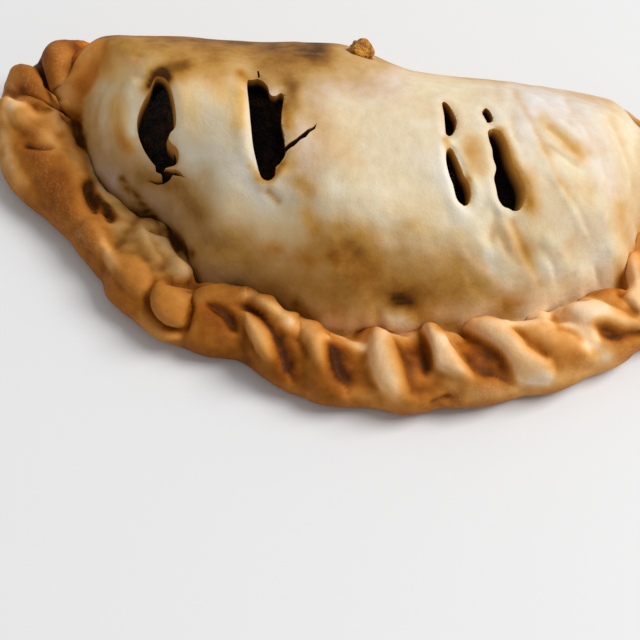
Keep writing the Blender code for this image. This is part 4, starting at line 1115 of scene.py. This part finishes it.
# ======== materials ========
# Colours of baked dough from raw to burnt, and their places on the scale of baking.
DOME_COLOURS = (
    (0.00, (0.84, 0.755, 0.59)), (0.16, (0.76, 0.632, 0.42)), (0.32, (0.70, 0.50, 0.28)),
    (0.48, (0.60, 0.37, 0.14)), (0.64, (0.50, 0.265, 0.06)), (0.80, (0.33, 0.14, 0.02)),
    (1.00, (0.07, 0.025, 0.004)),
)
ROPE_COLOURS = (
    (0.00, (0.92, 0.67, 0.43)), (0.20, (0.78, 0.44, 0.17)), (0.35, (0.64, 0.31, 0.085)),
    (0.50, (0.50, 0.215, 0.042)), (0.65, (0.38, 0.135, 0.015)), (0.82, (0.23, 0.068, 0.004)),
    (1.00, (0.06, 0.018, 0.002)),
)
# The three sizes of grain: input for how many to the metre, output and detail.
GRAINS = (("Lumps", "Lump Value", 3.0), ("Grains", "Grain Value", 4.0),
          ("Specks", "Speck Value", 3.0))
GRAIN_ROUGHNESS = 0.55
# Dough: grain, how far it changes the baking, and the colours laid over the ramps.
DOUGH_GRAIN = (70.0, 420.0, 1800.0)
DOUGH_MOTTLING = (("Lump Value", 0.32), ("Grain Value", 0.20), ("Speck Value", 0.08))
DOUGH_SPECULAR = 0.1
ORANGE = (1.0, 0.74, 0.38, 1.0)
COOL = (0.90, 0.97, 1.42, 1.0)
FLOUR = (0.82, 0.60, 0.36, 1.0)
FLOUR_SPECKS = (0.0, 0.22)
FLOUR_SHARE = 0.32
CUT_DOUGH = (0.44, 0.18, 0.022, 1.0)          # just below the skin
CUT_DEPTHS = (0.0, 0.08)                      # depths, as shares of the dough's thickness
DEEP_SHADE = (0.022, 0.009, 0.003, 1.0)       # painted shade, near black, deep in the slits' and cracks' walls
DEEP_SHADE_DEPTHS = (0.2, 0.85)
DOUGH_ROUGHNESS = (0.62, 0.25)                # level and how far the grain changes it
DOUGH_RELIEF = (0.35, 0.6, 0.30 * MM)         # share of the specks, strength and height
# Filling: how far the grain changes its colour, and the rest as for the dough.
FILLING_LEVEL = 0.35
FILLING_MOTTLING = (("Grain Value", 2.2), ("Lump Value", 1.5))
FILLING_ENDS = (0.2, 0.9)                     # levels of its darkest and its warmest colour
FILLING_ROUGHENED = 0.6
FILLING_RELIEF = (0.5, 0.8, 1.2 * MM)
# Its darkest and its warmest colour, grain and roughness. The minced filling's near-black darkest
# colour is partly painted shade in the slits.
MINCE_AND_SHADE = ((0.010, 0.004, 0.002), (0.09, 0.028, 0.007), (150.0, 500.0, 2200.0), 0.35)
BAKED_CRUMB = ((0.36, 0.12, 0.010), (0.88, 0.42, 0.03), (300.0, 900.0, 3000.0), 0.55)


def put(tree, kind, values=None, **settings):
    """A new node with its settings and its inputs; a value that is a socket is linked."""
    made = tree.nodes.new(kind)
    for name, setting in settings.items():
        setattr(made, name, setting)
    for name, value in (values or {}).items():
        if isinstance(value, bpy.types.NodeSocket):
            tree.links.new(value, made.inputs[name])
        else:
            made.inputs[name].default_value = value
    return made


def ramp(tree, value, stops):
    """A colour ramp over a value."""
    made = put(tree, "ShaderNodeValToRGB", {0: value})
    elements = made.color_ramp.elements
    while len(elements) < len(stops):
        elements.new(0.5)
    for element, (place, colour) in zip(elements, stops):
        element.position = place
        element.color = (*colour, 1.0)
    return made.outputs["Color"]


def grain_group():
    """Uneven grain of baked or minced food: one value round 0 for each size of grain."""
    tree = bpy.data.node_groups.new("food grain", "ShaderNodeTree")
    for size, value, _ in GRAINS:
        tree.interface.new_socket(size, in_out="INPUT", socket_type="NodeSocketFloat")
        tree.interface.new_socket(value, in_out="OUTPUT", socket_type="NodeSocketFloat")
    start = tree.nodes.new("NodeGroupInput")
    end = tree.nodes.new("NodeGroupOutput")
    places = put(tree, "ShaderNodeTexCoord").outputs["Object"]
    for size, value, detail in GRAINS:
        pattern = put(tree, "ShaderNodeTexNoise", {
            "Vector": places, "Scale": start.outputs[size], "Detail": detail,
            "Roughness": GRAIN_ROUGHNESS})
        level = put(tree, "ShaderNodeMath", {0: pattern.outputs["Fac"], 1: 0.5},
                    operation="SUBTRACT")
        tree.links.new(level.outputs[0], end.inputs[value])
    return tree


def grained(tree, grain, counts):
    """The grain's values in a material, with so many lumps, grains and specks to the metre."""
    sizes = {size: count for (size, _, _), count in zip(GRAINS, counts)}
    return put(tree, "ShaderNodeGroup", sizes, node_tree=grain).outputs


def weighed(tree, value, weight, onto=0.0):
    """A value times a weight, plus another value."""
    return put(tree, "ShaderNodeMath", {0: value, 1: weight, 2: onto},
               operation="MULTIPLY_ADD").outputs[0]


def mixed(tree, share, first, second):
    """A colour between two."""
    return put(tree, "ShaderNodeMix", {0: share, 6: first, 7: second},
               data_type="RGBA").outputs[2]


def tinted(tree, tint, sense, colour, multiplier):
    """A colour multiplied by another, as far as the tint goes in one sense."""
    share = put(tree, "ShaderNodeMath", {0: tint, 1: sense}, operation="MULTIPLY",
                use_clamp=True).outputs[0]
    return put(tree, "ShaderNodeMix", {0: share, 6: colour, 7: multiplier},
               data_type="RGBA", blend_type="MULTIPLY").outputs[2]


def mottled(tree, grains, level, weights):
    """A level to which the grain adds."""
    for name, weight in weights:
        level = weighed(tree, grains[name], weight, level)
    return level


def ranged(tree, value, ends):
    """0 up to the first end of a range and 1 from the second."""
    return put(tree, "ShaderNodeMapRange", {
        "Value": value, "From Min": ends[0], "From Max": ends[1]}).outputs["Result"]


def embossed(tree, shader, grains, relief):
    """Give a shader the fine relief of the grain."""
    speck_share, strength, height = relief
    level = weighed(tree, grains["Speck Value"], speck_share, grains["Grain Value"])
    bump = put(tree, "ShaderNodeBump", {
        "Height": level, "Strength": strength, "Distance": height})
    tree.links.new(bump.outputs["Normal"], shader.inputs["Normal"])


def new_material(name):
    """A material with its node tree and its shader."""
    material = bpy.data.materials.new(name)
    material.use_nodes = True
    return material, material.node_tree, material.node_tree.nodes["Principled BSDF"]


def crust_material(grain):
    """Baked dough, coloured by what is stored for each vertex, with painted shade deep in the slits and
    cracks.
    """
    material, tree, shader = new_material("baked dough")
    shader.inputs["Specular IOR Level"].default_value = DOUGH_SPECULAR
    baked, rope, tint, floured, inside = (
        put(tree, "ShaderNodeAttribute", attribute_name=name).outputs["Fac"]
        for name in ("baked", "rope", "tint", "floured", "inside"))
    grains = grained(tree, grain, DOUGH_GRAIN)
    level = mottled(tree, grains, baked, DOUGH_MOTTLING)
    colour = mixed(tree, rope, ramp(tree, level, DOME_COLOURS), ramp(tree, level, ROPE_COLOURS))
    colour = tinted(tree, tint, 1.0, colour, ORANGE)
    colour = tinted(tree, tint, -1.0, colour, COOL)
    speck = weighed(tree, ranged(tree, grains["Speck Value"], FLOUR_SPECKS), floured)
    colour = mixed(tree, weighed(tree, speck, FLOUR_SHARE), colour, FLOUR)
    colour = mixed(tree, ranged(tree, inside, CUT_DEPTHS), colour, CUT_DOUGH)
    # painted shade deep in the slits' and cracks' walls
    colour = mixed(tree, ranged(tree, inside, DEEP_SHADE_DEPTHS), colour, DEEP_SHADE)
    tree.links.new(colour, shader.inputs["Base Color"])
    rough, roughened = DOUGH_ROUGHNESS
    rough = weighed(tree, grains["Grain Value"], roughened, rough)
    tree.links.new(rough, shader.inputs["Roughness"])
    embossed(tree, shader, grains, DOUGH_RELIEF)
    return material


def filling_material(name, grain, dark, warm, counts, rough):
    """Minced or baked filling between two colours."""
    material, tree, shader = new_material(name)
    grains = grained(tree, grain, counts)
    level = mottled(tree, grains, FILLING_LEVEL, FILLING_MOTTLING)
    colour = ramp(tree, level, tuple(zip(FILLING_ENDS, (dark, warm))))
    tree.links.new(colour, shader.inputs["Base Color"])
    rough = weighed(tree, grains["Speck Value"], FILLING_ROUGHENED, rough)
    tree.links.new(rough, shader.inputs["Roughness"])
    embossed(tree, shader, grains, FILLING_RELIEF)
    return material


# ======== filling ========
SHRINKAGE = 0.025             # share by which the filling is smaller than the hollow
FILLING_MIDDLE = 20 * MM
FILLING_SINK = 2.5 * MM       # how far the filling has settled where it stands high
SINK_LOW = 18 * MM
SINK_HIGH = 32 * MM
SINK_SHARE = 0.25             # share of the way to the centre over which the settling sets in
HOLLOW_MARGIN = 3.5 * MM
# Dents in the filling under the slits: middle, length, width, turn in degrees and depth, in mm.
SUNKEN = (
    (-46.0, 11.0, 20.0, 9.8, -4.0, 10), (-22.8, 5.0, 24.5, 8.0, 6.3, 11),
    (20.0, -1.2, 24.3, 2.4, 8.3, 7), (30.2, -3.0, 21.0, 4.5, 14.0, 7),
)
DENT_STEEPNESS = 4
FILLING_LUMPS = ((2.2, 4, 5), (1.0, 1.8, 6))    # height and size in mm, and seed
CRUMB_SPOT = (0.4 * MM, 33.0 * MM)              # the place on the table under its middle
CRUMB_RADIUS = 3.0 * MM
CRUMB_OUT = 0.4 * MM          # how far the middle of the crumb stands out of the dough
NOTCH_GAP = 0.35 * MM         # between the crumb and its seat
CRUMB_FINENESS = 5
CRUMB_WAVES = ((4.1, 1.0), (3.7, 0.4), (4.6, -0.7))    # rate and start along each axis
CRUMB_LUMPS = 0.14
CRUMB_ROUGHNESS = 0.12
CRUMB_GRAINS = ((1.0, 3.5), (0.5, 9))           # share and fineness


def sinking(points):
    """How far the filling has settled at each of its top points, most of all under the slits."""
    sunk = FILLING_SINK * smooth_step(SINK_LOW, SINK_HIGH, points[:, 2])
    for x, y, length, width, turn, dent in SUNKEN:
        lean = math.radians(turn)
        offset = points[:, :2] - np.array([x, y]) * MM
        across = offset[:, 0] * math.cos(lean) + offset[:, 1] * math.sin(lean)
        along = offset[:, 1] * math.cos(lean) - offset[:, 0] * math.sin(lean)
        away = np.hypot(across / (width / 2 * MM + HOLLOW_MARGIN), along / (length / 2 * MM))
        sunk = np.maximum(sunk, dent * MM * np.exp(-away ** DENT_STEEPNESS))
    return sunk


def filling_piece(edge):
    """The lump of minced filling, which has shrunk from the dough and settled."""
    shares = np.linspace(FIRST_SHARE, HOLLOW_SHARES[-1], FILLING_RINGS)
    middle = np.array([*DOME_CENTRE, FILLING_MIDDLE])
    rings = [middle + (ring - middle) * (1 - SHRINKAGE)
             for ring in hollow_grid(edge, shares, FILLING_COLUMNS)]
    for ring, share in zip(rings, shares):
        settled = smooth_step(0.0, SINK_SHARE, share)
        ring[:, 2] -= sinking(ring) * settled
        lumps = sum(height * (0.5 + 0.5 * unevenness(ring, size * MM, seed))
                    for height, size, seed in FILLING_LUMPS)
        ring[:, 2] -= lumps * MM * settled
    top = rings[0].mean(axis=0)
    return closed_skin("minced_filling", rings, top, (*DOME_CENTRE, rings[-1][0, 2]))


def crumb_lump(name, middle, radius, rough):
    """A lumpy ball of baked filling."""
    solid = bmesh.new()
    bmesh.ops.create_icosphere(solid, subdivisions=CRUMB_FINENESS, radius=1.0)
    for vertex in solid.verts:
        waves = [math.sin(rate * value + start)
                 for value, (rate, start) in zip(vertex.co, CRUMB_WAVES)]
        lumps = waves[0] * waves[1] + waves[2] * vertex.co.x
        grain = sum(share * rough * noise.noise(vertex.co * fineness)
                    for share, fineness in CRUMB_GRAINS)
        vertex.co = Vector(middle) + vertex.co * radius * (1 + CRUMB_LUMPS * lumps + grain)
    return add_piece(name, solid)


# ======== build ========
# The start-up light and camera make way for the studio's.
for leftover in list(bpy.data.objects):
    if leftover.type in ("LIGHT", "CAMERA"):
        bpy.data.objects.remove(leftover)
edge = outline_columns(EDGE_SAMPLES)
grain = grain_group()

holes, cracks = hole_outlines()
grid, on_rope, crease_shading = crust_grid(edge, holes)
crust = closed_skin("dough_crust", grid, grid[0].mean(axis=0), (*DOME_CENTRE, 0.0))
sight = BVHTree.FromObject(crust, bpy.context.evaluated_depsgraph_get())
slits = [slit_cutter(f"slit_{index + 1}", lower, upper, sight)
         for index, (lower, upper) in enumerate(holes + cracks)]
hollow = closed_skin("hollow", hollow_grid(edge, HOLLOW_SHARES, HOLLOW_COLUMNS),
                     below_dome(edge, np.array([DOME_CENTRE]), DOUGH)[0], (*DOME_CENTRE, DOUGH))
seat_spot = below_dome(edge, np.array([CRUMB_SPOT]), -CRUMB_OUT)[0]
seat = crumb_lump("seat", seat_spot, CRUMB_RADIUS + NOTCH_GAP, 0.0)
cut_away(crust, [hollow, seat] + slits)
nearest = nearest_points(crust, grid)
rope_share = on_rope.ravel()[nearest]
# where the dome turns into the rope, which gets painted shade
crease_shade_share = 4 * rope_share * (1 - rope_share)
rope_share = recoloured(crust, rope_share)
baked, tint, floured = bake_amounts(crust, rope_share, crease_shading.ravel()[nearest], crease_shade_share)
off_skin = np.array([sight.find_nearest(place)[3] for place in vertex_places(crust)])
# depth into the dough, which the material turns into painted shade deep in the slits and cracks
inside = smooth_step(0.0, DOUGH, off_skin) * crack_shade_rate(crust, cracks)
for name, values in (("baked", baked), ("rope", rope_share), ("tint", tint),
                     ("floured", floured), ("inside", inside)):
    store(crust, name, values)
crust.data.set_sharp_from_angle(angle=SHARP_ANGLE)
crust.data.materials.clear()
crust.data.materials.append(crust_material(grain))

filling = filling_piece(edge)
filling.data.materials.append(filling_material("moist minced filling", grain, *MINCE_AND_SHADE))
crumb = crumb_lump("baked_crumb", seat_spot, CRUMB_RADIUS, CRUMB_ROUGHNESS)
crumb.data.materials.append(filling_material("baked crumb", grain, *BAKED_CRUMB))

for piece, node in ((crust, "crust"), (filling, "filling"), (crumb, "filling_crumb")):
    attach(piece, "root")
    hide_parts(node)

# ======== studio ========
FLOOR_HALF = 1.5
FLOOR_COLOUR = (0.78, 0.79, 0.81, 1.0)
FLOOR_ROUGHNESS = 0.6
ROOM_COLOUR = (1.0, 0.99, 0.97, 1.0)
ROOM_LIGHT = 0.40
WINDOW_PLACE = (1.55, 0.30, 1.95)
WINDOW_SIZE = 1.4
WINDOW_POWER = 59.0
WINDOW_COLOUR = (1.0, 0.99, 0.97)
LIT_PLACE = Vector((0, 0, 0.02))
LENS_NEAR = 0.01

floor_mesh = bmesh.new()
bmesh.ops.create_grid(floor_mesh, x_segments=1, y_segments=1, size=FLOOR_HALF)
floor = add_piece("floor", floor_mesh)
floor_material, _, floor_shader = new_material("pale table")
floor_shader.inputs["Base Color"].default_value = FLOOR_COLOUR
floor_shader.inputs["Roughness"].default_value = FLOOR_ROUGHNESS
floor.data.materials.append(floor_material)

scene = bpy.context.scene
scene.view_settings.view_transform = "Standard"
world = bpy.data.worlds.new("room")
scene.world = world
world.use_nodes = True
background = world.node_tree.nodes["Background"]
background.inputs["Color"].default_value = ROOM_COLOUR
background.inputs["Strength"].default_value = ROOM_LIGHT


def soft_light(name, place, size, power, colour):
    """A square light that shines at the calzone."""
    data = bpy.data.lights.new(name, "AREA")
    data.size = size
    data.energy = power
    data.color = colour
    light = bpy.data.objects.new(name, data)
    bpy.context.collection.objects.link(light)
    light.location = place
    towards = LIT_PLACE - Vector(place)
    light.rotation_euler = towards.to_track_quat("-Z", "Y").to_euler()


soft_light("window", WINDOW_PLACE, WINDOW_SIZE, WINDOW_POWER, WINDOW_COLOUR)

lens = bpy.data.cameras.new("view")
lens.angle = CAMERA_FIELD
lens.clip_start = LENS_NEAR
camera = bpy.data.objects.new("view", lens)
bpy.context.collection.objects.link(camera)
camera.matrix_world = camera_place
scene.camera = camera

bpy.context.view_layer.update()
